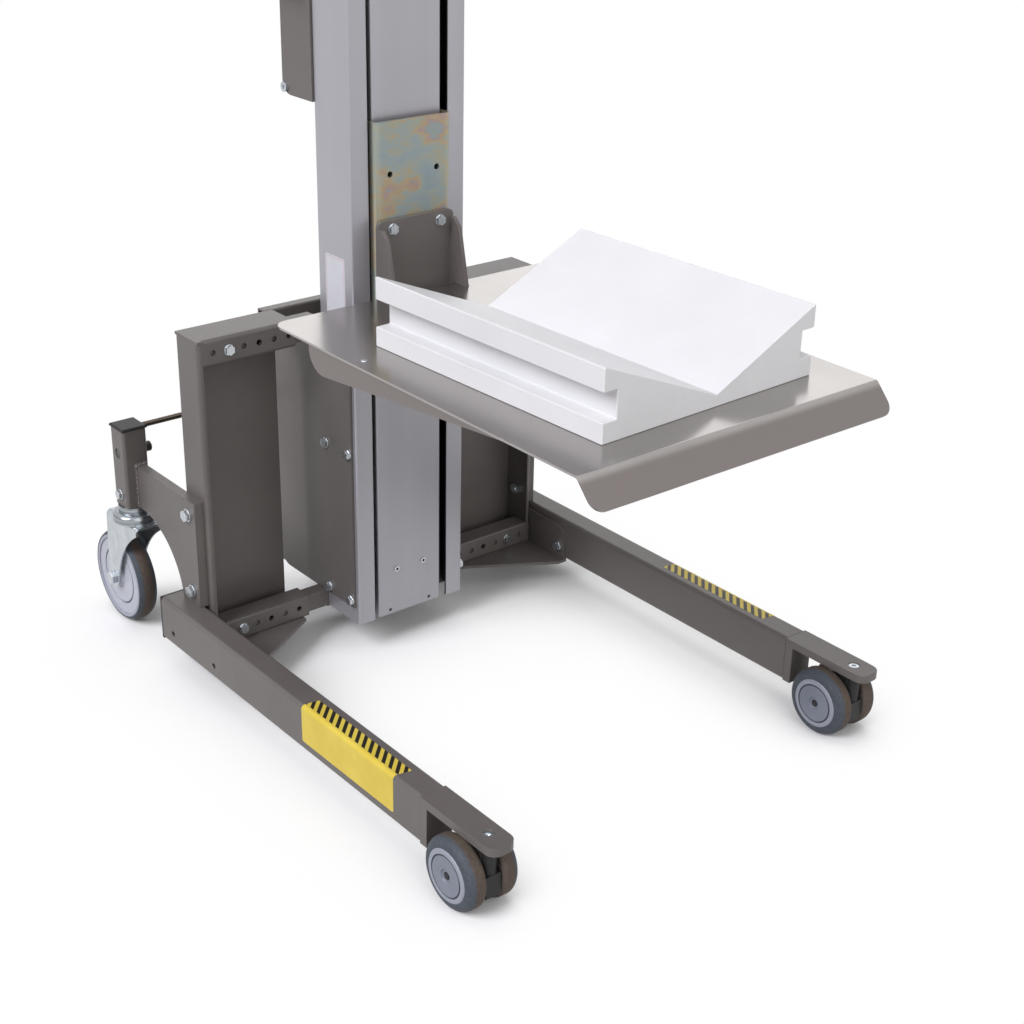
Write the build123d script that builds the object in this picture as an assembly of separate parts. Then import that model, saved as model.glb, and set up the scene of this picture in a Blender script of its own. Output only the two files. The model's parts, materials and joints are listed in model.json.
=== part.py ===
from build123d import *
import math
import os

# Material lift: a screw-driven mast on a wheeled frame whose two legs straddle a
# pallet. A carriage climbs the mast with a stainless tray and a V-block for rolls.
# Millimetres, +Z up, legs and tray towards -Y. The mast's front face is y = 0 while
# the pieces are drawn, and every piece is moved once when it is written.

# Mast extrusion
mast_width = 196.0
mast_depth = 85.0
mast_wall = 4.0
mast_bottom = 51.0
mast_top = 1900.0
mast_corner = 2.5
mast_mouth = 136.8
port_x = 78.0
port_radius = 6.0
port_bore = 2.6
motor_window_width = 76.0
motor_window_height = 74.0

# Strip that closes the mast's mouth between the two slots
cover_width = 118.0
cover_front = 3.5
cover_wall = 3.0
cover_return = 8.0
cover_gap = 1.0
cover_bottom = 50.0
cover_screw_x = 25.0
cover_screw_z = 125.5
cover_hole_x = 37.0
cover_hole_z = 57.0
cover_hole_radius = 2.6

# Foot plate and top cap
foot_thickness = 8.0
foot_tab_height = 89.0
foot_tab_corner = 8.0
foot_tab_thickness = 6.0
cap_thickness = 12.0
cap_overhang = 3.0
cap_corner = 8.0
cap_spigot = 15.0

# Lifting screw, its bearings and the gearmotor
screw_y = 45.0
screw_radius = 10.0
journal_radius = 7.5
gear_journal_radius = 8.5
bearing_radius = 24.0
bearing_height = 21.0
upper_bearing_height = 17.0
running_gap = 0.05
end_float = 0.3
nut_gap = 0.1
gearbox_width = 64.0
gearbox_front = 18.0
gearbox_height = 66.0
motor_radius = 31.0
motor_length = 134.0
motor_tail = 10.0

# Guide rollers and their channels
roller_radius = 17.0
roller_width = 16.0
roller_gap = 0.3
roller_inner_x = 73.0
rib_thickness = 4.0
rib_reach = 24.0
axle_radius = 5.0
axle_head_radius = 8.0
axle_head_length = 6.0
axle_shoulder_radius = 7.5
axle_end_radius = 6.5
axle_end_length = 2.0
roller_low_z = 600.0
roller_high_z = 790.0

# Carriage plate, a zinc-plated U
plate_width = 130.0
plate_wall = 5.0
plate_front = -12.0
plate_bend = 5.0
plate_back = 34.0
plate_bottom = 500.0
plate_top = 820.0
tool_hole_x = 40.0
tool_hole_z = 746.5
tool_hole_radius = 4.25

# Nut yoke across the back of the carriage
yoke_z = 705.0
yoke_height = 30.0
yoke_front = 24.0
yoke_thickness = 10.0
nut_radius = 17.0
nut_flange_radius = 24.0
nut_flange_height = 8.0

# Painted bracket that carries the tray
bracket_width = 131.0
bracket_wall = 6.0
bracket_top = 684.0
bracket_bottom = 478.0
bracket_corner = 9.0
bracket_bolt_x = 41.0
bracket_bolt_z = 671.0
bracket_top_reach = 26.0
bracket_foot_reach = 44.0
bracket_arm_front = -420.0
bracket_arm_tip = 20.0
bracket_heel = 50.0
bracket_cheek_start = 2.0
bracket_cheek_top = 8.0
bracket_cheek_drop = 12.0

# Tray
tray_width = 500.0
tray_sheet = 3.0
tray_top = 578.0
tray_back = -30.0
tray_bend_y = -658.0
tray_lip_drop = 36.5
tray_lip_lean = 31.0
tray_bend_radius = 5.0
tray_back_corner = 22.0
tray_lip_corner = 18.0
tray_slot_gap = 1.0
rivet_x = 231.0
rivet_y = -221.0
rivet_radius = 2.4
rivet_head_radius = 4.5

# Tapered flanges under the tray
rib_x = 238.0
rib_sheet = 3.0
rib_foot = 22.0
rib_rear_y = -102.0
rib_front_y = -563.0
rib_depth = 47.0
rib_corner = 32.0

# V-block of white plastic, which stands a little askew on the tray
block_x = 3.0
block_y = -390.0
block_turn = 2.2
block_width = 365.0
block_length = 424.0
block_height = 94.0
block_v_shift = 8.0
block_v_z = 16.0
block_rim = 3.0
block_slot_low = 27.0
block_slot_high = 63.5
block_slot_depth = 22.0

# Legs
leg_inner_x = 310.0
leg_width = 40.0
leg_bottom = 45.0
leg_top = 115.0
leg_wall = 3.0
leg_corner = 6.0
leg_rear = 154.0
leg_cap = 4.0
leg_plug = 14.0
leg_hole_radius = 4.5
leg_hole_front_y = 4.0
leg_hole_rear_y = 123.0
leg_hole_z = 66.0

# Fork plate over each front caster
fork_plate_thickness = 12.0
fork_end_thickness = 14.0
fork_plate_corner = 15.0
fork_plate_nose = 33.5
kingpin_y = -611.5
kingpin_from_leg = 111.5
kingpin_radius = 6.0
kingpin_head_radius = 7.5
kingpin_head_height = 6.0
kingpin_recess = 1.5
kingpin_socket = 6.0

# Front twin-wheel casters
front_wheel_radius = 50.0
front_trail = 32.0
front_gap = 0.3
front_body_half = 12.0
front_boss_radius = 11.0
front_nose = 12.0
front_nose_top = 60.0
front_wheel_inner = 13.0
front_wheel_outer = 40.0
front_seat_radius = 36.3
front_shoulder = 46.0
front_tread_start = 6.0
front_tread_end = 14.0
front_groove_radius = 28.3
front_groove_width = 2.3
front_groove_depth = 1.5
front_axle_radius = 5.0
front_hub_radius = 11.0
front_thrust_radius = 17.0
front_thrust_height = 2.0
front_body_radius = 31.0
front_pin_end = 34.0

# Side frames of bent sheet
frame_outer_x = 305.0
frame_inner_x = 145.0
frame_front = 79.0
frame_back = 141.0
frame_top = 530.0
frame_sheet = 4.0
frame_bend = 4.0
frame_lip = 8.0
channel_height = 40.0
channel_return = 14.0
sleeve_height = 35.0
sleeve_wall = 3.0
sleeve_inner_x = 138.0
pitch_hole_first = 155.5
pitch_hole_step = 25.0
pitch_hole_count = 6
pitch_bolt_index = 4
pitch_hole_radius = 4.5

# Gusset brackets between frame and leg
gusset_sheet = 5.0
gusset_low = 42.0
gusset_high = 104.0
gusset_front = -12.0
gusset_tip = 293.0
gusset_inner_x = 147.0
gusset_inner_y = 74.0
gusset_corner = 26.0

# Central chassis round the mast's foot
side_plate_sheet = 4.0
side_plate_front = 7.0
side_plate_back = 209.0
side_plate_bottom = 79.0
side_plate_top = 490.0
side_plate_corner = 20.0
side_bolt_y = (15.0, 73.0)
side_bolt_z = (90.0, 332.0)
beam_depth = 20.0
beam_half_width = 157.0
beam_wall = 3.0
slider_tube_wall = 3.0
slider_gap = 0.5
slider_end_x = 288.0
upper_tube = 32.0

# Drive housing, shelf and batteries
housing_depth = 155.0
housing_wall = 2.5
housing_top = 486.0
housing_corner = 12.0
shelf_z = 160.0
battery_length = 151.0
battery_depth = 65.0
battery_height = 94.0
battery_space = 4.0
terminal_radius = 6.0
terminal_height = 6.0

# Control box on the back of the mast
box_width = 202.0
box_depth = 75.0
box_bottom = 836.0
box_top = 1120.0
box_wall = 3.0
box_round = 20.0
box_edge = 5.0
box_screw_y = 152.0
box_screw_z = 846.0
switch_width = 150.0
switch_height = 84.0
switch_depth = 36.0
switch_drop = 58.0

# Push buttons on the control box
button_x = 46.0
button_pitch = 40.0
button_radius = 11.0
button_stem = 8.0
button_stem_length = 28.0
button_cap = 6.5
button_travel = 3.0
button_bezel = 4.0
stop_x = -32.0
stop_radius = 20.0
stop_cap = 12.0
stop_stem = 9.0
stop_travel = 4.0
stop_bezel_radius = 17.0

# Push handle
handle_radius = 14.0
handle_wall = 2.5
handle_plug = 10.0
handle_plug_head = 3.0
handle_drop = 120.0
handle_start_y = 98.0
handle_straight_y = 172.0
handle_wide_y = 255.0
handle_wide_x = 205.0
handle_back_y = 345.0
handle_small_bend = 40.0
handle_big_bend = 50.0
grip_radius = 17.5
grip_length = 110.0
grip_x = 88.0
handle_bolt_y = (112.0, 145.0)

# Rear caster arms and tubes
arm_thickness = 15.0
arm_front = 89.0
arm_top = 283.5
arm_foot_back = 138.0
arm_mid_y = 176.0
arm_mid_z = 185.0
arm_bolt_y = 109.0
arm_bolt_high = 260.0
arm_bolt_low = 135.5
tube_size = 40.0
tube_wall = 3.0
tube_corner = 5.0
tube_inset = 6.0
tube_y = 282.0
tube_bottom = 215.3
tube_top = 342.0
tube_cap_over = 1.0
tube_cap_height = 4.0
tube_plug = 14.0
height_pin_z = 302.0
height_pin_radius = 8.0
height_pin_end = 14.0
height_pin_recess = 1.0
tube_screw_z = 235.0
socket_height = 44.0
cross_bar_flats = 8.0
cross_bar_back = 5.0
cross_bar_z = 336.0

# Rear casters
rear_wheel_radius = 75.0
rear_seat_radius = 63.0
rear_tyre_half = 15.0
rear_shoulder = 70.0
rear_trail = 45.0
rear_hub_half = 18.5
rear_hub_radius = 15.0
rear_axle_radius = 6.0
rear_disc_half = 13.0
rear_groove_radius = 45.0
rear_groove_width = 3.0
rear_groove_depth = 2.0
fork_gap_half = 19.0
fork_sheet = 3.0
fork_crown_z = 190.0
fork_crown_front = 42.0
fork_crown_rear = 53.0
fork_shoulder_drop = 12.0
fork_waist_y = 8.0
fork_waist_z = 130.0
fork_bend = 6.0
fork_boss = 15.0
cup_radius = 34.0
cup_round = 8.0
cup_neck_radius = 24.0
cup_step = 15.0
stem_radius = 10.0
stem_top = 250.0

# Fasteners
m5 = 5.0
m8 = 8.0
m10 = 10.0
bolt_slack = 0.25

# Worked-out places
mast_half = mast_width / 2
cover_half = cover_width / 2
cover_back = cover_front + cover_wall
plate_half = plate_width / 2
plate_rear_face = plate_front + plate_wall
roller_y = mast_wall + roller_gap + roller_radius
rib_y = roller_y + roller_radius + roller_gap
bearing_z = mast_bottom + foot_thickness
gearbox_z = bearing_z + bearing_height
gearbox_back = mast_depth - mast_wall
motor_z = gearbox_z + gearbox_height / 2
spigot_bottom = mast_top - cap_spigot
upper_bearing_z = spigot_bottom - upper_bearing_height
bracket_half = bracket_width / 2
bracket_front = plate_front - bracket_wall
tray_underside = tray_top - tray_sheet
leg_x = leg_inner_x + leg_width / 2
leg_front = kingpin_y + kingpin_from_leg
fork_plate_front = kingpin_y - fork_plate_nose
front_axle_y = kingpin_y + front_trail
fork_plate_underside = leg_top - fork_plate_thickness
gusset_top = gusset_low + gusset_sheet
sleeve_z = gusset_top + sleeve_height / 2
upper_tube_z = frame_top - channel_height / 2
lower_tube = sleeve_height - 2 * sleeve_wall - 2 * slider_gap
sleeve_y = frame_front + sleeve_height / 2
upper_tube_y = frame_front + frame_sheet + slider_gap + upper_tube / 2
side_plate_x = mast_half + side_plate_sheet
beam_front = frame_back
box_back = mast_depth + box_depth
switch_z = box_top - switch_drop
button_z_up = switch_z + button_pitch / 2
button_z_down = switch_z - button_pitch / 2
handle_z = box_top - handle_drop
handle_leg_x = box_width / 2 + handle_radius
tube_x = frame_outer_x - tube_inset + tube_size / 2
rear_axle_y = tube_y + rear_trail
front_reach = -(tray_bend_y - tray_lip_lean)
rear_reach = rear_axle_y + rear_wheel_radius
mast_face_y = (front_reach - rear_reach) / 2


# General forms

def block(x0, x1, y0, y1, z0, z1):
    centre = ((x0 + x1) / 2, (y0 + y1) / 2, (z0 + z1) / 2)
    return Pos(*centre) * Box(abs(x1 - x0), abs(y1 - y0), abs(z1 - z0))


def rod(radius, start, end):
    along = Vector(*end) - Vector(*start)
    plane = Plane(origin=start, z_dir=along)
    return extrude(plane * Circle(radius), along.length)


def turned(profile, centre):
    # A closed outline of (x along the axle, radius) turned about the X axis.
    return Pos(*centre) * revolve(profile, axis=Axis.X)


def turned_up(profile, centre):
    # A closed outline of (radius, height) on the XZ plane turned about the Z axis.
    return Pos(*centre) * revolve(profile, axis=Axis.Z)


def side_sheet(outline, x0, x1):
    # An outline of (y, z) made a plate between two x values.
    plane = Plane(origin=(x0, 0, 0), x_dir=(0, 1, 0), z_dir=(1, 0, 0))
    return extrude(plane * outline, x1 - x0, dir=(1, 0, 0))


def flat_sheet(outline, z0, z1):
    return extrude(Pos(0, 0, z0) * outline, z1 - z0, dir=(0, 0, 1))


def outlined(*points):
    # A polygon that always runs anticlockwise, so that it joins with circles.
    area = sum(x0 * y1 - x1 * y0 for (x0, y0), (x1, y1) in zip(points, points[1:] + points[:1]))
    ordered = points if area > 0 else points[::-1]
    return Polygon(*ordered, align=None)


def bent_strip(points, radius, thickness):
    # The cross-section of a bent sheet, from its middle line.
    return trace(FilletPolyline(*points, radius=radius), line_width=thickness)


def mirrored(shape):
    return mirror(shape, about=Plane.YZ)


def both(shape):
    return [shape, mirrored(shape)]


def hex_prism(across_flats, plane, height):
    return extrude(plane * RegularPolygon(across_flats / math.sqrt(3), 6), height)


def bolt(at, outward, size, grip, nut=True, washer=True):
    # A hex bolt with its washer and nut; "at" is where the washer meets the plate.
    out = Vector(*outward)
    seat = Vector(*at)
    washer_height = 0.2 * size if washer else 0
    head_plane = Plane(origin=seat + out * washer_height, z_dir=out)
    body = hex_prism(1.6 * size, head_plane, 0.62 * size)
    if washer:
        body += rod(size, tuple(seat), tuple(seat + out * washer_height))
    far = seat - out * (grip + (0.95 * size if nut else 0))
    body += rod(size / 2, tuple(seat + out * washer_height), tuple(far))
    if nut:
        nut_plane = Plane(origin=seat - out * grip, z_dir=-out)
        body += hex_prism(1.6 * size, nut_plane, 0.8 * size)
    return body


def socket_screw(at, outward, size, length, head_height=None):
    # A pan-head screw with a hexagon socket.
    out = Vector(*outward)
    seat = Vector(*at)
    height = head_height or 0.5 * size
    top = seat + out * height
    body = rod(0.9 * size, tuple(seat), tuple(top))
    body += rod(size / 2, tuple(seat), tuple(seat - out * length))
    socket_plane = Plane(origin=top, z_dir=-out)
    return body - hex_prism(0.6 * size, socket_plane, 0.6 * height)


def drill_x(shape, radius, y, z, x0, x1):
    return shape - rod(radius, (x0, y, z), (x1, y, z))


def drill_y(shape, radius, x, z, y0, y1):
    return shape - rod(radius, (x, y0, z), (x, y1, z))


def hole(size):
    return size / 2 + bolt_slack


# Mast

def mast_profile():
    outer = Pos(0, mast_depth / 2) * RectangleRounded(mast_width, mast_depth, mast_corner)
    inner_width = mast_width - 2 * mast_wall
    inner = Pos(0, mast_depth / 2) * Rectangle(inner_width, mast_depth - 2 * mast_wall)
    mouth = Rectangle(mast_mouth, 2 * mast_wall)
    section = outer - inner - mouth
    inside = outer - Pos(0, mast_depth) * Rectangle(mast_width, 2 * mast_wall)
    inner_half = inner_width / 2
    for side in (-1, 1):
        rib = Rectangle(rib_reach, rib_thickness)
        section += Pos(side * (inner_half - rib_reach / 2), rib_y + rib_thickness / 2) * rib
        port_place = Pos(side * port_x, mast_depth - mast_wall - port_radius / 2)
        section += port_place * Circle(port_radius) & inside
        section -= port_place * Circle(port_bore)
    body = flat_sheet(section, mast_bottom, mast_top)
    window_low = gearbox_z - 2
    body -= block(-motor_window_width / 2, motor_window_width / 2,
                  gearbox_back - 1, mast_depth + 1, window_low, window_low + motor_window_height)
    for side in (-1, 1):
        for y in side_bolt_y:
            for z in side_bolt_z:
                body = drill_x(body, hole(m8), y, z, side * (mast_half - 2 * mast_wall),
                               side * (mast_half + 1))
    return body


def mast_front_cover():
    edge_x = cover_half - cover_wall / 2
    middle_y = cover_front + cover_wall / 2
    back_y = cover_front + cover_return
    section = bent_strip([(-edge_x, back_y), (-edge_x, middle_y), (edge_x, middle_y),
                          (edge_x, back_y)], cover_wall / 2 + 0.5, cover_wall)
    body = flat_sheet(section, cover_bottom, mast_top)
    for side in (-1, 1):
        body = drill_y(body, hole(m5), side * cover_screw_x, cover_screw_z, 0, cover_back + 1)
        body = drill_y(body, cover_hole_radius, side * cover_hole_x, cover_hole_z, 0,
                       cover_back + 1)
    return body


def foot_plate():
    half = cover_half - cover_wall - cover_gap
    plate = block(-half, half, cover_back, gearbox_back, mast_bottom, bearing_z)
    tab = block(-half, half, cover_back, cover_back + foot_tab_thickness,
                bearing_z, mast_bottom + foot_tab_height)
    body = plate + tab
    upper_edges = tab.edges().filter_by(Axis.Y).group_by(Axis.Z)[-1]
    corner_cut = [e.center() for e in upper_edges]
    body = fillet([e for e in body.edges().filter_by(Axis.Y)
                   if min((e.center() - c).length for c in corner_cut) < 0.01],
                  foot_tab_corner)
    for side in (-1, 1):
        body = drill_y(body, m5 / 2 + bolt_slack / 2, side * cover_screw_x, cover_screw_z, 0,
                       cover_back + foot_tab_thickness + 1)
    return body - rod(journal_radius + running_gap, (0, screw_y, mast_bottom - 1),
                      (0, screw_y, bearing_z + 1))


def top_cap():
    width = mast_width + 2 * cap_overhang
    depth = mast_depth + 2 * cap_overhang
    outline = Pos(0, mast_depth / 2) * RectangleRounded(width, depth, cap_corner)
    lid = flat_sheet(outline, mast_top, mast_top + cap_thickness)
    lid = fillet(lid.edges().group_by(Axis.Z)[-1], cap_thickness / 3)
    half = cover_half - cover_wall - cover_gap
    spigot = block(-half, half, cover_back, gearbox_back, spigot_bottom, mast_top)
    return lid + spigot


def bearing_ring(low, height):
    return (rod(bearing_radius, (0, screw_y, low), (0, screw_y, low + height))
            - rod(journal_radius + running_gap, (0, screw_y, low - 1),
                  (0, screw_y, low + height + 1)))


def screw_bearings():
    return [bearing_ring(bearing_z, bearing_height),
            bearing_ring(upper_bearing_z, upper_bearing_height)]


def lift_screw():
    low = mast_bottom + 1
    gear_low = gearbox_z + end_float
    gear_high = gearbox_z + gearbox_height
    shoulder = upper_bearing_z - end_float
    top = spigot_bottom - end_float
    steps = [(0, low), (journal_radius, low), (journal_radius, gear_low),
             (gear_journal_radius, gear_low), (gear_journal_radius, gear_high + end_float),
             (screw_radius, gear_high + end_float + screw_radius - gear_journal_radius),
             (screw_radius, shoulder), (journal_radius, shoulder), (journal_radius, top),
             (0, top)]
    outline = make_face(Plane.XZ * Polyline(*steps, close=True))
    return turned_up(outline, (0, screw_y, 0))


def drive_motor():
    half = gearbox_width / 2
    gearbox = block(-half, half, gearbox_front, gearbox_back, gearbox_z,
                    gearbox_z + gearbox_height)
    gearbox = fillet(gearbox.edges().filter_by(Axis.Z), 6)
    gearbox -= rod(gear_journal_radius + running_gap, (0, screw_y, gearbox_z - 1),
                   (0, screw_y, gearbox_z + gearbox_height + 1))
    start = gearbox_back
    end = start + motor_length
    motor = rod(motor_radius, (0, start, motor_z), (0, end, motor_z))
    tail = rod(motor_radius - 2, (0, end, motor_z), (0, end + motor_tail, motor_z))
    tail = chamfer(tail.edges().group_by(Axis.Y)[-1], 3)
    return [gearbox, motor, tail]


# Chassis between the mast and the side frames

def chassis_side_plate():
    outline = Pos((side_plate_front + side_plate_back) / 2,
                  (side_plate_bottom + side_plate_top) / 2) * Rectangle(
        side_plate_back - side_plate_front, side_plate_top - side_plate_bottom)
    lower_rear = outline.vertices().group_by(Axis.Y)[0].sort_by(Axis.X)[-1]
    outline = fillet([lower_rear], side_plate_corner)
    plate = side_sheet(outline, mast_half, side_plate_x)
    for y in side_bolt_y:
        for z in side_bolt_z:
            plate = drill_x(plate, hole(m8), y, z, mast_half - 1, side_plate_x + 1)
    return plate


def slider_tube(size, y, z, end_x, wall):
    tube = block(side_plate_x, end_x, y - size / 2, y + size / 2, z - size / 2, z + size / 2)
    tube = fillet(tube.edges().filter_by(Axis.X), wall)
    inside = size / 2 - wall
    tube -= block(side_plate_x - 1, end_x + 1, y - inside, y + inside, z - inside, z + inside)
    for index in (0, 2, pitch_bolt_index):
        x = pitch_hole_first + pitch_hole_step * index
        if x < end_x - m8:
            tube = drill_y(tube, pitch_hole_radius, x, z, y - size, y)
    return tube


def rear_beam():
    height = channel_height
    beam = block(-beam_half_width, beam_half_width, beam_front, beam_front + beam_depth,
                 frame_top - height, frame_top)
    beam = fillet(beam.edges().filter_by(Axis.X), beam_wall)
    return beam - block(-beam_half_width - 1, beam_half_width + 1, beam_front + beam_wall,
                        beam_front + beam_depth - beam_wall, frame_top - height + beam_wall,
                        frame_top - beam_wall)


def central_chassis():
    upper = slider_tube(upper_tube, upper_tube_y, upper_tube_z, slider_end_x, slider_tube_wall)
    lower = slider_tube(lower_tube, sleeve_y, sleeve_z, slider_end_x, slider_tube_wall)
    # The lower tubes reach the mast itself, below the side plates.
    reach = block(mast_half, side_plate_x, sleeve_y - lower_tube / 2, sleeve_y + lower_tube / 2,
                  sleeve_z - lower_tube / 2, sleeve_z + lower_tube / 2)
    lower = lower + (reach & block(mast_half, side_plate_x, 0, mast_depth + housing_depth,
                                   0, side_plate_bottom))
    return (both(chassis_side_plate()) + both(upper) + both(lower) + [rear_beam()])


def drive_housing():
    back = mast_depth + housing_depth
    outer = block(-mast_half, mast_half, mast_depth, back, side_plate_bottom, housing_top)
    rear_edges = outer.edges().filter_by(Axis.Z).group_by(Axis.Y)[-1]
    outer = fillet(rear_edges, housing_corner)
    top_rear = outer.edges().group_by(Axis.Z)[-1]
    outer = fillet([e for e in top_rear if e.center().Y > mast_depth + 1], 4)
    inner = block(-mast_half + housing_wall, mast_half - housing_wall,
                  mast_depth - 1, back - housing_wall,
                  side_plate_bottom + housing_wall, housing_top - housing_wall)
    inner = fillet(inner.edges().filter_by(Axis.Z).group_by(Axis.Y)[-1],
                   housing_corner - housing_wall)
    shell = outer - inner
    shelf = block(-mast_half + housing_wall, mast_half - housing_wall, mast_depth,
                  back - housing_wall - housing_corner, shelf_z - housing_wall, shelf_z)
    return [shell, shelf]


def battery_pack():
    pieces = []
    first = mast_depth + battery_space
    for index in range(2):
        y0 = first + index * (battery_depth + battery_space)
        case = block(-battery_length / 2, battery_length / 2, y0, y0 + battery_depth,
                     shelf_z, shelf_z + battery_height)
        case = fillet(case.edges().filter_by(Axis.Z), 4)
        for side in (-1, 1):
            x = side * (battery_length / 2 - 3 * terminal_radius)
            y = y0 + 2.5 * terminal_radius
            case += rod(terminal_radius, (x, y, shelf_z + battery_height),
                        (x, y, shelf_z + battery_height + terminal_height))
        pieces.append(case)
    return pieces


# Control box, buttons and handle

def control_box():
    half = box_width / 2
    outer = block(-half, half, mast_depth, box_back, box_bottom, box_top)
    low_rear = outer.edges().filter_by(Axis.X).group_by(Axis.Z)[0].sort_by(Axis.Y)[-1]
    outer = fillet(low_rear, box_round)
    outer = fillet(outer.edges().filter_by(Axis.X).group_by(Axis.Z)[-1].sort_by(Axis.Y)[-1:],
                   box_edge)
    inner = block(-half + box_wall, half - box_wall, mast_depth + box_wall,
                  box_back - box_wall, box_bottom + box_wall, box_top - box_wall)
    low_inner = inner.edges().filter_by(Axis.X).group_by(Axis.Z)[0].sort_by(Axis.Y)[-1]
    inner = fillet(low_inner, box_round - box_wall)
    shell = outer - inner
    rear = box_back - box_wall
    switches = block(-switch_width / 2, switch_width / 2, rear - switch_depth, rear,
                     switch_z - switch_height / 2, switch_z + switch_height / 2)
    for x, z, stem, travel, ring in button_places():
        bore = stem + 0.3
        shell = drill_y(shell, bore, x, z, rear - 1, box_back + 1)
        switches = drill_y(switches, bore, x, z,
                           rear - button_stem_length - travel - 1, rear + 1)
        shell += (rod(ring + 3.5, (x, box_back, z), (x, box_back + button_bezel, z))
                  - rod(ring + 0.4, (x, box_back - 0.5, z), (x, box_back + 2 * button_bezel, z)))
    for side in (-1, 1):
        for y in handle_bolt_y:
            shell = drill_x(shell, hole(m8), y, handle_z, side * (half - 2 * box_wall),
                            side * (half + 1))
        shell = drill_x(shell, hole(m8), box_screw_y, box_screw_z, side * (half - 2 * box_wall),
                        side * (half + 1))
    return [shell, switches]


def button_places():
    return [(button_x, button_z_up, button_stem, button_travel, button_radius),
            (button_x, button_z_down, button_stem, button_travel, button_radius),
            (stop_x, switch_z, stop_stem, stop_travel, stop_bezel_radius - 3.5)]


def push_button(x, z):
    under = box_back + button_travel + 0.5
    cap = rod(button_radius, (x, under, z), (x, under + button_cap, z))
    cap = fillet(cap.edges().group_by(Axis.Y)[-1], 1.2)
    stem = rod(button_stem, (x, box_back - box_wall - button_stem_length, z), (x, under, z))
    return cap + stem


def stop_button():
    under = box_back + button_bezel + stop_travel + 0.5
    cap = rod(stop_radius, (stop_x, under, switch_z), (stop_x, under + stop_cap, switch_z))
    cap = fillet(cap.edges().group_by(Axis.Y)[-1], stop_cap / 3)
    stem = rod(stop_stem, (stop_x, box_back - box_wall - button_stem_length, switch_z),
               (stop_x, under, switch_z))
    return cap + stem


def handle_path():
    right = [(handle_leg_x, handle_start_y), (handle_leg_x, handle_straight_y),
             (handle_wide_x, handle_wide_y), (handle_wide_x, handle_back_y)]
    points = right + [(-x, y) for x, y in reversed(right)]
    raised = [(x, y, handle_z) for x, y in points]
    small = handle_small_bend
    big = handle_big_bend
    return FilletPolyline(*raised, radius=[small, small, big, big, small, small])


def push_handle():
    path = handle_path()
    ring = Circle(handle_radius) - Circle(handle_radius - handle_wall)
    section = Plane(origin=path @ 0, z_dir=path % 0) * ring
    tube = sweep(section, path=path)
    for side in (-1, 1):
        for y in handle_bolt_y:
            tube = drill_x(tube, hole(m8), y, handle_z, side * (handle_leg_x - handle_radius - 1),
                           side * (handle_leg_x + handle_radius + 1))
    return tube


def handle_grips():
    def grip(x0, x1):
        body = rod(grip_radius, (x0, handle_back_y, handle_z), (x1, handle_back_y, handle_z))
        body = fillet(body.edges(), 3)
        return body - rod(handle_radius, (x0 - 1, handle_back_y, handle_z),
                          (x1 + 1, handle_back_y, handle_z))
    return both(grip(grip_x - grip_length / 2, grip_x + grip_length / 2))


# Side frames, gussets, legs and fork plates, drawn for the +X side

def pitch_holes(shape, z, y0, y1):
    for index in range(pitch_hole_count):
        shape = drill_y(shape, pitch_hole_radius, pitch_hole_first + pitch_hole_step * index,
                        z, y0, y1)
    return shape


def side_frame():
    half_sheet = frame_sheet / 2
    wall_x = frame_outer_x - half_sheet
    front_y = frame_front + half_sheet
    back_y = frame_back - half_sheet
    column = bent_strip([(frame_outer_x - frame_lip, front_y), (wall_x, front_y),
                         (wall_x, back_y), (frame_inner_x, back_y)], frame_bend, frame_sheet)
    body = flat_sheet(column, gusset_top, frame_top - frame_sheet)
    low_z = frame_top - channel_height + half_sheet
    high_z = frame_top - half_sheet
    channel = bent_strip([(frame_front + channel_return, low_z), (front_y, low_z),
                          (front_y, high_z), (frame_back, high_z)], frame_bend, frame_sheet)
    body += side_sheet(channel, frame_inner_x, frame_outer_x - frame_lip)
    body += block(frame_outer_x - frame_lip, frame_outer_x, frame_front, frame_back,
                  frame_top - frame_sheet, frame_top)
    sleeve = block(sleeve_inner_x, frame_outer_x - half_sheet, frame_front,
                   frame_front + sleeve_height, gusset_top, gusset_top + sleeve_height)
    sleeve = fillet(sleeve.edges().filter_by(Axis.X), sleeve_wall)
    body += sleeve
    inside = sleeve_height / 2 - sleeve_wall
    body -= block(sleeve_inner_x - 1, frame_outer_x - frame_sheet, sleeve_y - inside,
                  sleeve_y + inside, sleeve_z - inside, sleeve_z + inside)
    body = pitch_holes(body, upper_tube_z, frame_front - 1, frame_front + frame_sheet + 1)
    body = pitch_holes(body, sleeve_z, frame_front - 1, frame_front + sleeve_wall + 1)
    for z in (arm_bolt_low, arm_bolt_high):
        body = drill_x(body, hole(m10), arm_bolt_y, z, frame_outer_x - 2 * frame_sheet,
                       frame_outer_x + 1)
    body = drill_x(body, hole(m8), leg_hole_rear_y, leg_hole_z,
                   frame_outer_x - 2 * frame_sheet, frame_outer_x + 1)
    return body


def gusset_bracket():
    flat = outlined((gusset_inner_x, gusset_inner_y), (gusset_tip, gusset_front),
                   (frame_outer_x, gusset_front), (frame_outer_x, frame_back),
                   (gusset_inner_x, frame_back))
    floor_plate = flat_sheet(flat, gusset_low, gusset_top)
    upright = Pos((gusset_front + frame_back) / 2, (gusset_low + gusset_high) / 2) * Rectangle(
        frame_back - gusset_front, gusset_high - gusset_low)
    upper_front = upright.vertices().group_by(Axis.Y)[-1].sort_by(Axis.X)[0]
    upright = fillet([upper_front], gusset_corner)
    body = floor_plate + side_sheet(upright, frame_outer_x, leg_inner_x)
    for y in (leg_hole_front_y, leg_hole_rear_y):
        body = drill_x(body, hole(m8), y, leg_hole_z, frame_outer_x - 1, leg_inner_x + 1)
    return body


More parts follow.
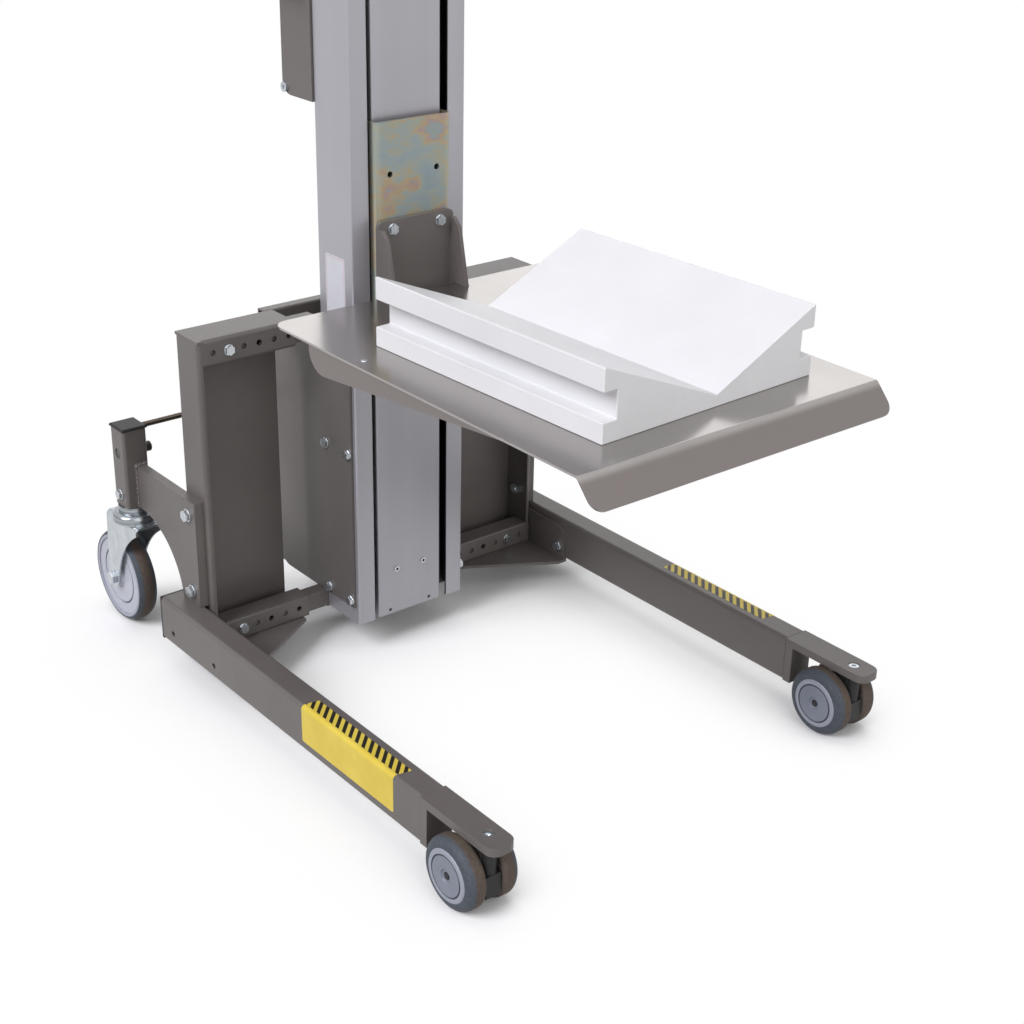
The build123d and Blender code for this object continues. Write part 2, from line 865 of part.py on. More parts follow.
def leg_tube():
    height = leg_top - leg_bottom
    centre = ((leg_rear + leg_front) / 2, (leg_top + leg_bottom) / 2)
    plane = Plane(origin=(leg_x, leg_front, centre[1]), x_dir=(1, 0, 0), z_dir=(0, 1, 0))
    outer = RectangleRounded(leg_width, height, leg_corner)
    inner = RectangleRounded(leg_width - 2 * leg_wall, height - 2 * leg_wall,
                             leg_corner - leg_wall)
    body = extrude(plane * (outer - inner), leg_rear - leg_front)
    outer_x = leg_inner_x + leg_width
    for y in (leg_hole_front_y, leg_hole_rear_y):
        body = drill_x(body, leg_hole_radius, y, leg_hole_z, outer_x - 2 * leg_wall, outer_x + 1)
        body = drill_x(body, hole(m8), y, leg_hole_z, leg_inner_x - 1,
                       leg_inner_x + 2 * leg_wall)
    return body


def fork_plate():
    back = leg_front - fork_end_thickness
    outer_x = leg_inner_x + leg_width
    length_outline = Pos(leg_x, (fork_plate_front + leg_front) / 2) * Rectangle(
        leg_width, leg_front - fork_plate_front)
    front_corners = length_outline.vertices().group_by(Axis.Y)[0]
    outline = fillet(front_corners, fork_plate_corner)
    body = flat_sheet(outline, fork_plate_underside, leg_top)
    body += block(leg_inner_x, outer_x, back, leg_front, leg_bottom, leg_top)
    kingpin_hole = kingpin_radius + running_gap
    body -= rod(kingpin_hole, (leg_x, kingpin_y, fork_plate_underside - 1),
                (leg_x, kingpin_y, leg_top + 1))
    return body - rod(kingpin_head_radius + bolt_slack,
                      (leg_x, kingpin_y, leg_top - kingpin_head_height),
                      (leg_x, kingpin_y, leg_top + 1))


def kingpin():
    top = leg_top - kingpin_recess
    neck = leg_top - kingpin_head_height
    pin = rod(kingpin_radius, (leg_x, kingpin_y, front_pin_end), (leg_x, kingpin_y, neck))
    head = rod(kingpin_head_radius, (leg_x, kingpin_y, neck), (leg_x, kingpin_y, top))
    socket_plane = Plane(origin=(leg_x, kingpin_y, top), z_dir=(0, 0, -1))
    return pin + head - hex_prism(kingpin_socket, socket_plane, kingpin_head_height / 2)


# Front caster pieces, drawn for the +X side

def front_caster_body():
    y, z = front_axle_y, front_wheel_radius
    top = fork_plate_underside - front_gap
    boss_low = front_pin_end - 6
    core = side_sheet(Pos(y, z) * Circle(front_body_radius), leg_x - front_body_half,
                      leg_x + front_body_half)
    thrust_low = top - front_thrust_height
    web = outlined((kingpin_y, boss_low), (y, z - front_body_radius), (y, z + front_body_radius),
                  (y - front_trail / 2, thrust_low - 4), (kingpin_y, thrust_low - 4))
    core += side_sheet(web, leg_x - front_body_half, leg_x + front_body_half)
    nose_front = kingpin_y - front_nose
    nose = outlined((nose_front, boss_low), (y, boss_low), (y, front_nose_top),
                    (nose_front, front_nose_top))
    core += side_sheet(nose, leg_x - front_body_half, leg_x + front_body_half)
    boss = rod(front_boss_radius, (leg_x, kingpin_y, boss_low), (leg_x, kingpin_y, top))
    core += boss
    core += rod(front_thrust_radius, (leg_x, kingpin_y, thrust_low), (leg_x, kingpin_y, top))
    bore = kingpin_radius + running_gap
    core -= rod(bore, (leg_x, kingpin_y, front_pin_end - end_float),
                (leg_x, kingpin_y, top + 1))
    core = drill_x(core, front_axle_radius, y, z, leg_x - front_body_half - 1,
                   leg_x + front_body_half + 1)
    end = front_wheel_outer - 1
    axle = rod(front_axle_radius, (leg_x - end, y, z), (leg_x + end, y, z))
    return [core, chamfer(axle.edges(), 0.8)]


def front_rim():
    bore = front_axle_radius + running_gap
    seat = front_seat_radius - running_gap
    inner = front_wheel_inner
    outer = front_wheel_outer
    web = outer - 7
    barrel = seat - 5
    groove_low = front_groove_radius - front_groove_width / 2
    groove_high = front_groove_radius + front_groove_width / 2
    groove_floor = outer - front_groove_depth
    points = [(inner, bore), (inner, front_hub_radius), (web, front_hub_radius),
              (web, barrel), (inner + 1, barrel), (inner + 1, seat), (outer - 1.5, seat),
              (outer, seat - 1.5), (outer, groove_high), (groove_floor, groove_high),
              (groove_floor, groove_low), (outer, groove_low), (outer, bore + 5),
              (outer - 2, bore + 3.5), (outer - 2, bore)]
    return turned(make_face(Polyline(*points, close=True)),
                  (leg_x, front_axle_y, front_wheel_radius))


def front_tyre():
    inner = front_wheel_inner
    tread_in = inner + front_tread_start
    tread_out = inner + front_tread_end
    outer = front_wheel_outer - 1.5
    top = front_wheel_radius
    lower = front_seat_radius + 1.2
    edges = [Line((inner, front_seat_radius), (inner, front_shoulder)),
             TangentArc((tread_in, top), (inner, front_shoulder), tangent=(-1, 0)),
             Line((tread_in, top), (tread_out, top)),
             TangentArc((tread_out, top), (outer, lower), tangent=(1, 0)),
             Line((outer, lower), (outer, front_seat_radius)),
             Line((outer, front_seat_radius), (inner, front_seat_radius))]
    return turned(make_face(edges), (leg_x, front_axle_y, front_wheel_radius))


def swapped_side(shape):
    # The inboard wheel of a twin caster is the outboard one turned round.
    return mirror(shape, about=Plane.YZ.offset(leg_x))


# Rear caster pieces, drawn for the +X side

def caster_arm():
    rear_y = tube_y - tube_size / 2
    foot = leg_top + end_float
    edges = [Line((arm_front, foot), (arm_foot_back, foot)),
             ThreePointArc((arm_foot_back, foot), (arm_mid_y, arm_mid_z),
                           (rear_y, tube_bottom)),
             Line((rear_y, tube_bottom), (rear_y, arm_top)),
             Line((rear_y, arm_top), (arm_front, arm_top)),
             Line((arm_front, arm_top), (arm_front, foot))]
    plate = side_sheet(make_face(edges), frame_outer_x, frame_outer_x + arm_thickness)
    for z in (arm_bolt_low, arm_bolt_high):
        plate = drill_x(plate, hole(m10), arm_bolt_y, z, frame_outer_x - 1,
                        frame_outer_x + arm_thickness + 1)
    half = tube_size / 2
    inside = half - tube_wall
    tube = block(tube_x - half, tube_x + half, tube_y - half, tube_y + half, tube_bottom,
                 tube_top)
    tube = fillet(tube.edges().filter_by(Axis.Z), tube_corner)
    tube -= block(tube_x - inside, tube_x + inside, tube_y - inside, tube_y + inside,
                  tube_bottom - 1, tube_top + 1)
    tube = drill_x(tube, height_pin_radius, tube_y, height_pin_z, tube_x - half - 1,
                   tube_x + half + 1)
    tube = drill_x(tube, hole(m8), tube_y, tube_screw_z, tube_x + inside - 1,
                   tube_x + half + 1)
    socket = block(tube_x - inside, tube_x + inside, tube_y - inside, tube_y + inside,
                   tube_bottom, tube_bottom + socket_height)
    socket -= rod(stem_radius + running_gap, (tube_x, tube_y, tube_bottom - 1),
                  (tube_x, tube_y, stem_top + end_float))
    socket = drill_x(socket, m8 / 2, tube_y, tube_screw_z, tube_x + stem_radius + 1,
                     tube_x + half)
    return [plate + tube, socket]


def rear_fork():
    high = fork_crown_z - fork_sheet / 2
    leg_line = fork_gap_half + fork_sheet / 2
    low = rear_wheel_radius - fork_boss - 1
    section = bent_strip([(-leg_line, low), (-leg_line, high), (leg_line, high),
                          (leg_line, low)], fork_bend, fork_sheet)
    crown_front = tube_y - fork_crown_front
    crown_rear = tube_y + fork_crown_rear
    axle_y, axle_z = rear_axle_y, rear_wheel_radius
    plane = Plane(origin=(tube_x, crown_front, 0), x_dir=(-1, 0, 0), z_dir=(0, 1, 0))
    channel = extrude(plane * section, axle_y + fork_boss + 1 - crown_front)
    top = fork_crown_z + 1
    shoulder = (crown_front, fork_crown_z - fork_shoulder_drop)
    boss_front = (axle_y - fork_boss, axle_z)
    boss_rear = (axle_y + fork_boss, axle_z)
    edges = [Line((crown_front, top), (crown_rear, top)), Line((crown_rear, top), boss_rear),
             Line(boss_rear, boss_front),
             ThreePointArc(boss_front, (tube_y + fork_waist_y, fork_waist_z), shoulder),
             Line(shoulder, (crown_front, top))]
    outline = make_face(edges) + Pos(axle_y, axle_z) * Circle(fork_boss)
    sheet_half = fork_gap_half + fork_sheet + 1
    body = channel & side_sheet(outline, tube_x - sheet_half, tube_x + sheet_half)
    cup_top = fork_crown_z + cup_step
    cup_flat = cup_radius - cup_round
    seat = tube_bottom - end_float
    arc_in = cup_round * math.sin(math.radians(45))
    cup = [Polyline((0, stem_top), (0, fork_crown_z), (cup_radius, fork_crown_z),
                    (cup_radius, cup_top - cup_round)),
           ThreePointArc((cup_radius, cup_top - cup_round),
                         (cup_flat + arc_in, cup_top - cup_round + arc_in),
                         (cup_flat, cup_top)),
           Polyline((cup_flat, cup_top), (cup_neck_radius, cup_top), (cup_neck_radius, seat),
                    (stem_radius, seat), (stem_radius, stem_top), (0, stem_top))]
    body += turned_up(Plane.XZ * make_face(cup), (tube_x, tube_y, 0))
    reach = fork_gap_half + fork_sheet
    body = drill_x(body, rear_axle_radius, axle_y, axle_z, tube_x - reach - 1,
                   tube_x + reach + 1)
    axle = bolt((tube_x + reach, axle_y, axle_z), (1, 0, 0), 2 * rear_axle_radius, 2 * reach,
                washer=False)
    return [body, axle]


def rear_wheel():
    bore = rear_axle_radius + running_gap
    seat = rear_seat_radius - running_gap
    disc = rear_disc_half
    groove_low = rear_groove_radius - rear_groove_width / 2
    groove_high = rear_groove_radius + rear_groove_width / 2
    groove_floor = disc - rear_groove_depth
    points = [(rear_hub_half, bore), (rear_hub_half, rear_hub_radius - 2),
              (disc, rear_hub_radius + 2), (disc, groove_low), (groove_floor, groove_low),
              (groove_floor, groove_high), (disc, groove_high), (disc, seat)]
    outline = points + [(-x, r) for x, r in reversed(points)]
    return turned(make_face(Polyline(*outline, close=True)),
                  (tube_x, rear_axle_y, rear_wheel_radius))


def rear_tyre():
    half = rear_tyre_half
    top = rear_wheel_radius
    edges = [Line((-half, rear_seat_radius), (-half, rear_shoulder)),
             ThreePointArc((-half, rear_shoulder), (0, top), (half, rear_shoulder)),
             Line((half, rear_shoulder), (half, rear_seat_radius)),
             Line((half, rear_seat_radius), (-half, rear_seat_radius))]
    return turned(make_face(edges), (tube_x, rear_axle_y, rear_wheel_radius))


def height_pins():
    # Each pin fills the cross hole of its tube and stands out on the inner side.
    outer = tube_x + tube_size / 2 - height_pin_recess
    inner = tube_x - tube_size / 2 - height_pin_end
    pin = rod(height_pin_radius, (inner, tube_y, height_pin_z), (outer, tube_y, height_pin_z))
    return both(chamfer(pin.edges().filter_by(GeomType.CIRCLE), 1))


def end_caps():
    leg_outline = RectangleRounded(leg_width, leg_top - leg_bottom, 1.5)
    plane = Plane(origin=(leg_x, leg_rear, (leg_top + leg_bottom) / 2), x_dir=(1, 0, 0),
                  z_dir=(0, 1, 0))
    leg_end = extrude(plane * leg_outline, leg_cap)
    plug = RectangleRounded(leg_width - 2 * leg_wall - 2 * running_gap,
                            leg_top - leg_bottom - 2 * leg_wall - 2 * running_gap,
                            leg_corner - leg_wall)
    leg_end += extrude(plane * plug, -leg_plug)
    half = tube_size / 2 + tube_cap_over
    lid = block(tube_x - half, tube_x + half, tube_y - half, tube_y + half, tube_top,
                tube_top + tube_cap_height)
    lid = chamfer(lid.edges().group_by(Axis.Z)[-1], tube_cap_height / 2)
    inside = tube_size / 2 - tube_wall - running_gap
    lid += block(tube_x - inside, tube_x + inside, tube_y - inside, tube_y + inside,
                 tube_top - tube_plug, tube_top)
    plug_end = rod(handle_radius - handle_wall - running_gap,
                   (handle_leg_x, handle_start_y, handle_z),
                   (handle_leg_x, handle_start_y + handle_plug, handle_z))
    plug_end += rod(handle_radius, (handle_leg_x, handle_start_y - handle_plug_head, handle_z),
                    (handle_leg_x, handle_start_y, handle_z))
    return both(leg_end) + both(lid) + both(plug_end)


def cross_bar():
    half = tube_x - tube_size / 2
    start = Plane(origin=(-half, tube_y + cross_bar_back, cross_bar_z), z_dir=(1, 0, 0))
    return hex_prism(cross_bar_flats, start, 2 * half)


# Fasteners that stay with the frame and mast

def frame_fasteners():
    pieces = []
    outer = frame_outer_x + arm_thickness
    for z in (arm_bolt_low, arm_bolt_high):
        pieces += both(bolt((outer, arm_bolt_y, z), (1, 0, 0), m10,
                            arm_thickness + frame_sheet))
    x = pitch_hole_first + pitch_hole_step * pitch_bolt_index
    upper_grip = upper_tube_y - upper_tube / 2 + slider_tube_wall - frame_front
    lower_grip = sleeve_y - lower_tube / 2 + slider_tube_wall - frame_front
    pieces += both(bolt((x, frame_front, upper_tube_z), (0, -1, 0), m8, upper_grip))
    pieces += both(bolt((x, frame_front, sleeve_z), (0, -1, 0), m8, lower_grip))
    pieces += both(bolt((frame_outer_x, leg_hole_front_y, leg_hole_z), (-1, 0, 0), m8,
                        gusset_sheet + leg_wall))
    pieces += both(bolt((frame_outer_x - frame_sheet, leg_hole_rear_y, leg_hole_z), (-1, 0, 0),
                        m8, frame_sheet + gusset_sheet + leg_wall))
    pieces += both(kingpin())
    pieces += both(bolt((tube_x + tube_size / 2, tube_y, tube_screw_z), (1, 0, 0), m8,
                        tube_wall + m8 / 2, nut=False))
    return pieces


def mast_fasteners():
    pieces = []
    for y in side_bolt_y:
        for z in side_bolt_z:
            pieces += both(bolt((side_plate_x, y, z), (1, 0, 0), m8,
                                side_plate_sheet + mast_wall, nut=False))
    pieces += both(socket_screw((cover_screw_x, cover_front, cover_screw_z), (0, -1, 0), m5, 8))
    pieces += both(socket_screw((box_width / 2, box_screw_y, box_screw_z), (1, 0, 0), m8,
                                box_wall))
    for y in handle_bolt_y:
        pieces += both(bolt((handle_leg_x + handle_radius, y, handle_z), (1, 0, 0), m8,
                            2 * handle_radius + box_wall))
    return pieces


# Carriage pieces

def carriage_plate():
    side_x = plate_half - plate_wall / 2
    front_y = plate_front + plate_wall / 2
    section = bent_strip([(-side_x, plate_back), (-side_x, front_y), (side_x, front_y),
                          (side_x, plate_back)], plate_bend, plate_wall)
    body = flat_sheet(section, plate_bottom, plate_top)
    for side in (-1, 1):
        body = drill_y(body, tool_hole_radius, side * tool_hole_x, tool_hole_z,
                       plate_front - 1, plate_rear_face + 1)
        body = drill_y(body, hole(m8), side * bracket_bolt_x, bracket_bolt_z,
                       plate_front - 1, plate_rear_face + 1)
        body = drill_y(body, hole(m8), side * bracket_bolt_x, bracket_lower_bolt_z(),
                       plate_front - 1, plate_rear_face + 1)
        for z in (roller_low_z, roller_high_z):
            body = drill_x(body, axle_radius, roller_y, z, side * (plate_half - 2 * plate_wall),
                           side * (plate_half + 1))
    return body


def bracket_lower_bolt_z():
    return plate_bottom + 3 * m8


def roller_axle(z):
    inner = plate_half - plate_wall
    roller_outer = roller_inner_x + roller_width
    points = [(inner - axle_head_length, 0), (inner - axle_head_length, axle_head_radius),
              (inner, axle_head_radius), (inner, axle_radius), (plate_half, axle_radius),
              (plate_half, axle_shoulder_radius), (roller_inner_x - roller_gap,
                                                   axle_shoulder_radius),
              (roller_inner_x - roller_gap, axle_radius),
              (roller_outer + roller_gap, axle_radius),
              (roller_outer + roller_gap, axle_end_radius),
              (roller_outer + roller_gap + axle_end_length, axle_end_radius),
              (roller_outer + roller_gap + axle_end_length, 0)]
    return turned(make_face(Polyline(*points, close=True)), (0, roller_y, z))


def guide_roller(z):
    bore = axle_radius + running_gap
    inner = roller_inner_x
    outer = inner + roller_width
    points = [(inner, bore), (inner, roller_radius - 1.5), (inner + 1.5, roller_radius),
              (outer - 1.5, roller_radius), (outer, roller_radius - 1.5), (outer, bore)]
    return turned(make_face(Polyline(*points, close=True)), (0, roller_y, z))


def screw_nut():
    half = plate_half - plate_wall
    arms = Pos(0, yoke_front + yoke_thickness / 2) * Rectangle(2 * half, yoke_thickness)
    web = Pos(0, (yoke_front + screw_y) / 2) * Rectangle(2 * nut_flange_radius,
                                                         screw_y - yoke_front)
    sketch = arms + web + Pos(0, screw_y) * Circle(nut_flange_radius)
    sketch -= Pos(0, screw_y) * Circle(nut_radius)
    low = yoke_z - yoke_height / 2
    high = yoke_z + yoke_height / 2
    yoke = flat_sheet(sketch, low, high)
    bore = screw_radius + nut_gap
    nut_low = low - nut_flange_height
    steps = [(bore, nut_low), (nut_flange_radius, nut_low), (nut_flange_radius, low),
             (nut_radius - running_gap, low), (nut_radius - running_gap, high), (bore, high)]
    nut = turned_up(make_face(Plane.XZ * Polyline(*steps, close=True)), (0, screw_y, 0))
    return [yoke, nut]


def tray_bracket():
    wall = bracket_wall
    back = block(-bracket_half, bracket_half, bracket_front, plate_front, bracket_bottom,
                 bracket_top)
    top_edges = back.edges().filter_by(Axis.Y).group_by(Axis.Z)[-1]
    back = fillet(top_edges, bracket_corner)
    top_z = bracket_top - bracket_corner - bracket_cheek_start
    cheek = outlined((bracket_front, top_z), (bracket_front - bracket_cheek_top, top_z),
                    (plate_front - bracket_top_reach, top_z - bracket_cheek_drop),
                    (plate_front - bracket_foot_reach, tray_top),
                    (plate_front - bracket_foot_reach, tray_underside),
                    (bracket_arm_front, tray_underside),
                    (bracket_arm_front, tray_underside - bracket_arm_tip),
                    (bracket_front - bracket_heel, bracket_bottom),
                    (bracket_front, bracket_bottom))
    right = side_sheet(cheek, bracket_half - wall, bracket_half)
    body = back + right + mirrored(right)
    for side in (-1, 1):
        for z in (bracket_bolt_z, bracket_lower_bolt_z()):
            body = drill_y(body, hole(m8), side * bracket_bolt_x, z, bracket_front - 1,
                           plate_front + 1)
    return body


def bracket_fasteners():
    pieces = []
    grip = bracket_wall + plate_wall
    for z in (bracket_bolt_z, bracket_lower_bolt_z()):
        pieces += both(bolt((bracket_bolt_x, bracket_front, z), (0, -1, 0), m8, grip,
                            nut=False))
    rivet = rod(rivet_head_radius, (rivet_x, rivet_y, tray_top),
                (rivet_x, rivet_y, tray_top + 1.2))
    rivet = fillet(rivet.edges().group_by(Axis.Z)[-1], 1)
    rivet += rod(rivet_radius, (rivet_x, rivet_y, tray_underside - rib_sheet),
                 (rivet_x, rivet_y, tray_top))
    return pieces + both(rivet)


def tray():
    middle = tray_top - tray_sheet / 2
    lip_y = tray_bend_y - tray_lip_lean
    lip_z = tray_top - tray_lip_drop
    slant = math.hypot(tray_lip_lean, tray_lip_drop)
    inward = tray_sheet / 2
    end = (lip_y + inward * tray_lip_drop / slant, lip_z + inward * tray_lip_lean / slant)
    section = bent_strip([(tray_back, middle), (tray_bend_y + inward, middle), end],
                         tray_bend_radius, tray_sheet)
    half = tray_width / 2
    body = side_sheet(section, -half, half)
    back_edges = [e for e in body.edges().filter_by(Axis.Z) if e.center().Y > tray_back - 1]
    body = fillet(back_edges, tray_back_corner)
    lip_edges = [e for e in body.edges() if e.length < 1.5 * tray_sheet
                 and e.center().Z < lip_z + tray_sheet and abs(e.center().X) > half - 0.1]
    body = fillet(lip_edges, tray_lip_corner)
    for side in (-1, 1):
        outer = side * (bracket_half + tray_slot_gap)
        inner = side * (bracket_half - bracket_wall - tray_slot_gap)
        body -= block(inner, outer, plate_front - bracket_foot_reach - tray_slot_gap,
                      tray_back + 1, tray_underside - 1, tray_top + 1)
        body -= rod(rivet_radius, (side * rivet_x, rivet_y, tray_underside - 1),
                    (side * rivet_x, rivet_y, tray_top + 1))
    return body


def tray_stiffener():
    outline = outlined((rib_rear_y, tray_underside), (rib_rear_y, tray_underside - rib_depth),
                      (rib_front_y, tray_underside - rib_sheet),
                      (rib_front_y, tray_underside))
    knee = outline.vertices().sort_by(Axis.Y)[0]
    outline = fillet([knee], rib_corner)
    web = side_sheet(outline, rib_x - rib_sheet, rib_x)
    foot = block(rib_x - rib_foot, rib_x, rib_front_y, rib_rear_y, tray_underside - rib_sheet,
                 tray_underside)
    body = web + foot
    return body - rod(rivet_radius, (rivet_x, rivet_y, tray_underside - 2 * rib_sheet),
                      (rivet_x, rivet_y, tray_underside + 1))


def v_block():
    half = block_width / 2
    reach = block_length / 2
    outline = outlined((-half, 0), (half, 0), (half, block_height),
                      (half - block_rim, block_height), (block_v_shift, block_v_z),
                      (block_rim - half, block_height), (-half, block_height))
    plane = Plane(origin=(0, reach, 0), x_dir=(1, 0, 0), z_dir=(0, -1, 0))
    body = extrude(plane * outline, block_length)
    slot = block(half - block_slot_depth, half + 1, -reach - 1, reach + 1, block_slot_low,
                 block_slot_high)
    body -= slot + mirrored(slot)
    return Pos(block_x, block_y, tray_top) * Rot(0, 0, block_turn) * body


# Every node by name, each a solid or a list of solids

nodes = {
    "mast_profile": mast_profile(),
    "mast_front_cover": mast_front_cover(),
    "mast_top_cap": top_cap(),
    "mast_foot_plate": foot_plate(),
    "screw_bearings": screw_bearings(),
    "lift_screw": lift_screw(),
    "drive_motor": drive_motor(),
    "central_chassis": central_chassis(),
    "drive_housing": drive_housing(),
    "battery_pack": battery_pack(),
    "control_box": control_box(),
    "up_button": push_button(button_x, button_z_up),
    "down_button": push_button(button_x, button_z_down),
    "stop_button": stop_button(),
    "push_handle": push_handle(),
    "handle_grips": handle_grips(),
    "end_caps": end_caps(),
    "cross_bar": cross_bar(),
    "height_pins": height_pins(),
    "frame_fasteners": frame_fasteners(),
    "mast_fasteners": mast_fasteners(),
    "carriage_plate": carriage_plate(),
    "roller_axles": both(roller_axle(roller_low_z)) + both(roller_axle(roller_high_z)),
    "screw_nut": screw_nut(),
    "tray_bracket": tray_bracket(),
    "bracket_fasteners": bracket_fasteners(),
    "tray": tray(),
    "tray_stiffeners": both(tray_stiffener()),
    "v_block": v_block(),
}

for index, (side, z) in enumerate([("left", roller_low_z), ("right", roller_low_z),
                                   ("left", roller_high_z), ("right", roller_high_z)], 1):
    roller = guide_roller(z)
    nodes[f"guide_roller_{index}"] = mirrored(roller) if side == "left" else roller

one_side = {
    "side_frame": side_frame(),
    "gusset_bracket": gusset_bracket(),
    "leg_tube": leg_tube(),
    "fork_plate": fork_plate(),
    "caster_arm": caster_arm(),
    "front_caster_body": front_caster_body(),
    "front_outer_rim": front_rim(),
    "front_outer_tyre": front_tyre(),
    "front_inner_rim": swapped_side(front_rim()),
    "front_inner_tyre": swapped_side(front_tyre()),
    "rear_caster_fork": rear_fork(),
    "rear_wheel": rear_wheel(),
    "rear_tyre": rear_tyre(),
}
for name, shape in one_side.items():
    pieces = shape if isinstance(shape, list) else [shape]
    nodes[f"{name}_right"] = pieces
    nodes[f"{name}_left"] = [mirrored(piece) for piece in pieces]

os.makedirs("parts", exist_ok=True)
for name, shape in nodes.items():
    pieces = shape if isinstance(shape, list) else [shape]
    solids = [solid for piece in pieces for solid in piece.solids()]
    placed = [Pos(0, mast_face_y, 0) * solid for solid in solids]
    whole = placed[0] if len(placed) == 1 else Compound(children=placed)
    export_step(whole, f"parts/{name}.step")

print(len(nodes), "nodes")
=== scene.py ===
import bpy
import json
import math
from mathutils import Matrix, Vector


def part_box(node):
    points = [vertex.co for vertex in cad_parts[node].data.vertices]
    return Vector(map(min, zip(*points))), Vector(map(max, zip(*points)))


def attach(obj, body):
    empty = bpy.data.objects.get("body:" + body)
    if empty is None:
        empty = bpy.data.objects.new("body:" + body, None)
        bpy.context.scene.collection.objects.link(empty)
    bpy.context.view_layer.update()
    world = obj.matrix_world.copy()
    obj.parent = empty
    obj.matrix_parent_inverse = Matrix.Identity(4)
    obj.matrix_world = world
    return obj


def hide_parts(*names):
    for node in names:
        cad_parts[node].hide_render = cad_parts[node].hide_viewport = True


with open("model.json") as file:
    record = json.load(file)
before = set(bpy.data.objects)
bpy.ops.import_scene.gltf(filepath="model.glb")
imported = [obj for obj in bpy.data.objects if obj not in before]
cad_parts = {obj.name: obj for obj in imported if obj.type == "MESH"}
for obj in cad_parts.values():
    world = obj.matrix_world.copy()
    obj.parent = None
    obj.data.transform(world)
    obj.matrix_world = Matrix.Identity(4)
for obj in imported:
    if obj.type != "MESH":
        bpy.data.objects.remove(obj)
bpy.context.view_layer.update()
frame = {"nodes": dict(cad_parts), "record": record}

# Material lift: paint, plating, plastics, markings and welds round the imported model
mm = 0.001
touch = 0.1 * mm          # how near to an edge counts as on it


def mid(node, axis):
    low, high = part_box(node)
    return (low[axis] + high[axis]) / 2


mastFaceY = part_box("mast_profile")[0][1]     # the photo's places start from the mast's front


# Camera at the photograph's place, in metres and degrees

cameraView = {
    "place": (-1.4130, mastFaceY - 1.95595, 1.35541),
    "azimuth": -39.525,       # 0 looks along +Y
    "elevation": 25.2566,
    "roll": 1.207,
    "lens": 61.32,
    "sensor": 36.0,
}


def addCamera():
    azimuth = math.radians(cameraView["azimuth"])
    elevation = math.radians(cameraView["elevation"])
    roll = math.radians(cameraView["roll"])
    back = Vector((math.sin(azimuth) * math.cos(elevation),
                   -math.cos(azimuth) * math.cos(elevation), math.sin(elevation)))
    right = Vector((math.cos(azimuth), math.sin(azimuth), 0))
    up = right.cross(-back)
    rolledRight = right * math.cos(roll) + up * math.sin(roll)
    rolledUp = up * math.cos(roll) - right * math.sin(roll)
    place = Matrix((rolledRight, rolledUp, back)).transposed().to_4x4()
    place.translation = cameraView["place"]
    bpy.ops.object.camera_add()
    camera = bpy.context.active_object
    camera.matrix_world = place
    camera.data.lens = cameraView["lens"]
    camera.data.sensor_width = cameraView["sensor"]
    bpy.context.scene.camera = camera


bpy.ops.object.select_all(action="DESELECT")
addCamera()
bpy.context.scene.view_settings.view_transform = "Standard"
print("camera set")


# Colours are written as on a screen and kept as linear values

def shade(code):
    parts = [int(code[i:i + 2], 16) / 255 for i in (1, 3, 5)]
    linear = [p / 12.92 if p <= 0.04045 else ((p + 0.055) / 1.055) ** 2.4 for p in parts]
    return (*linear, 1.0)


def fillRamp(ramp, stops):
    while len(ramp.elements) < len(stops):
        ramp.elements.new(1.0)
    for element, (place, code) in zip(ramp.elements, stops):
        element.position = place
        element.color = shade(code)


# A socket that takes part in sums: each sign adds its Math node

class Wire:
    def __init__(self, tree, socket=None):
        self.tree = tree
        self.socket = socket

    def node(self, kind, settings=None, values=None, output=0):
        made = self.tree.nodes.new("ShaderNode" + kind)
        for name, value in (settings or {}).items():
            if name == "stops":
                fillRamp(made.color_ramp, value)
            else:
                setattr(made, name, value)
        for name, value in (values or {}).items():
            if isinstance(value, Wire):
                self.tree.links.new(value.socket, made.inputs[name])
            else:
                made.inputs[name].default_value = value
        return Wire(self.tree, made.outputs[output] if made.outputs else None)

    def sum(self, operation, *others):
        return self.node("Math", {"operation": operation}, dict(enumerate((self, *others))))

    def __add__(self, other):
        return self.sum("ADD", other)

    def __sub__(self, other):
        return self.sum("SUBTRACT", other)

    def __rsub__(self, other):
        return self.node("Math", {"operation": "SUBTRACT"}, {0: other, 1: self})

    def __mul__(self, other):
        return self.sum("MULTIPLY", other)

    def __truediv__(self, other):
        return self.sum("DIVIDE", other)

    def __rtruediv__(self, other):
        return self.node("Math", {"operation": "DIVIDE"}, {0: other, 1: self})

    def __gt__(self, other):
        return self.sum("GREATER_THAN", other)

    def __lt__(self, other):
        return self.sum("LESS_THAN", other)

    def __abs__(self):
        return self.sum("ABSOLUTE")

    __radd__ = __add__
    __rmul__ = __mul__

    def fade(self, low=0.3, high=0.7):
        # 0 below low and 1 above high, with a smooth step between. Most of a noise lies
        # from 0.3 to 0.7
        return self.node("MapRange", {"interpolation_type": "SMOOTHSTEP"},
                         {"Value": self, "From Min": low, "From Max": high})

    def wave(self):
        # From 0 to 1 and back, once for each whole number
        return (self * (2 * math.pi)).sum("SINE") * 0.5 + 0.5

    def blend(self, first, second):
        # The first colour where this is 0 and the second where it is 1: the Mix node's
        # sockets 6, 7 and 2 are those for colours
        first, second = (shade(c) if isinstance(c, str) else c for c in (first, second))
        return self.node("Mix", {"data_type": "RGBA"}, {0: self, 6: first, 7: second}, 2)


# Materials: each has one shader, its fixed numbers, and patterns in object coordinates

def newMaterial(name, **fixed):
    material = bpy.data.materials.new(name)
    material.use_nodes = True
    shader = material.node_tree.nodes["Principled BSDF"]
    for key, value in fixed.items():
        shader.inputs[key.replace("_", " ")].default_value = value
    return material, Wire(material.node_tree).node("TexCoord", output="Object")


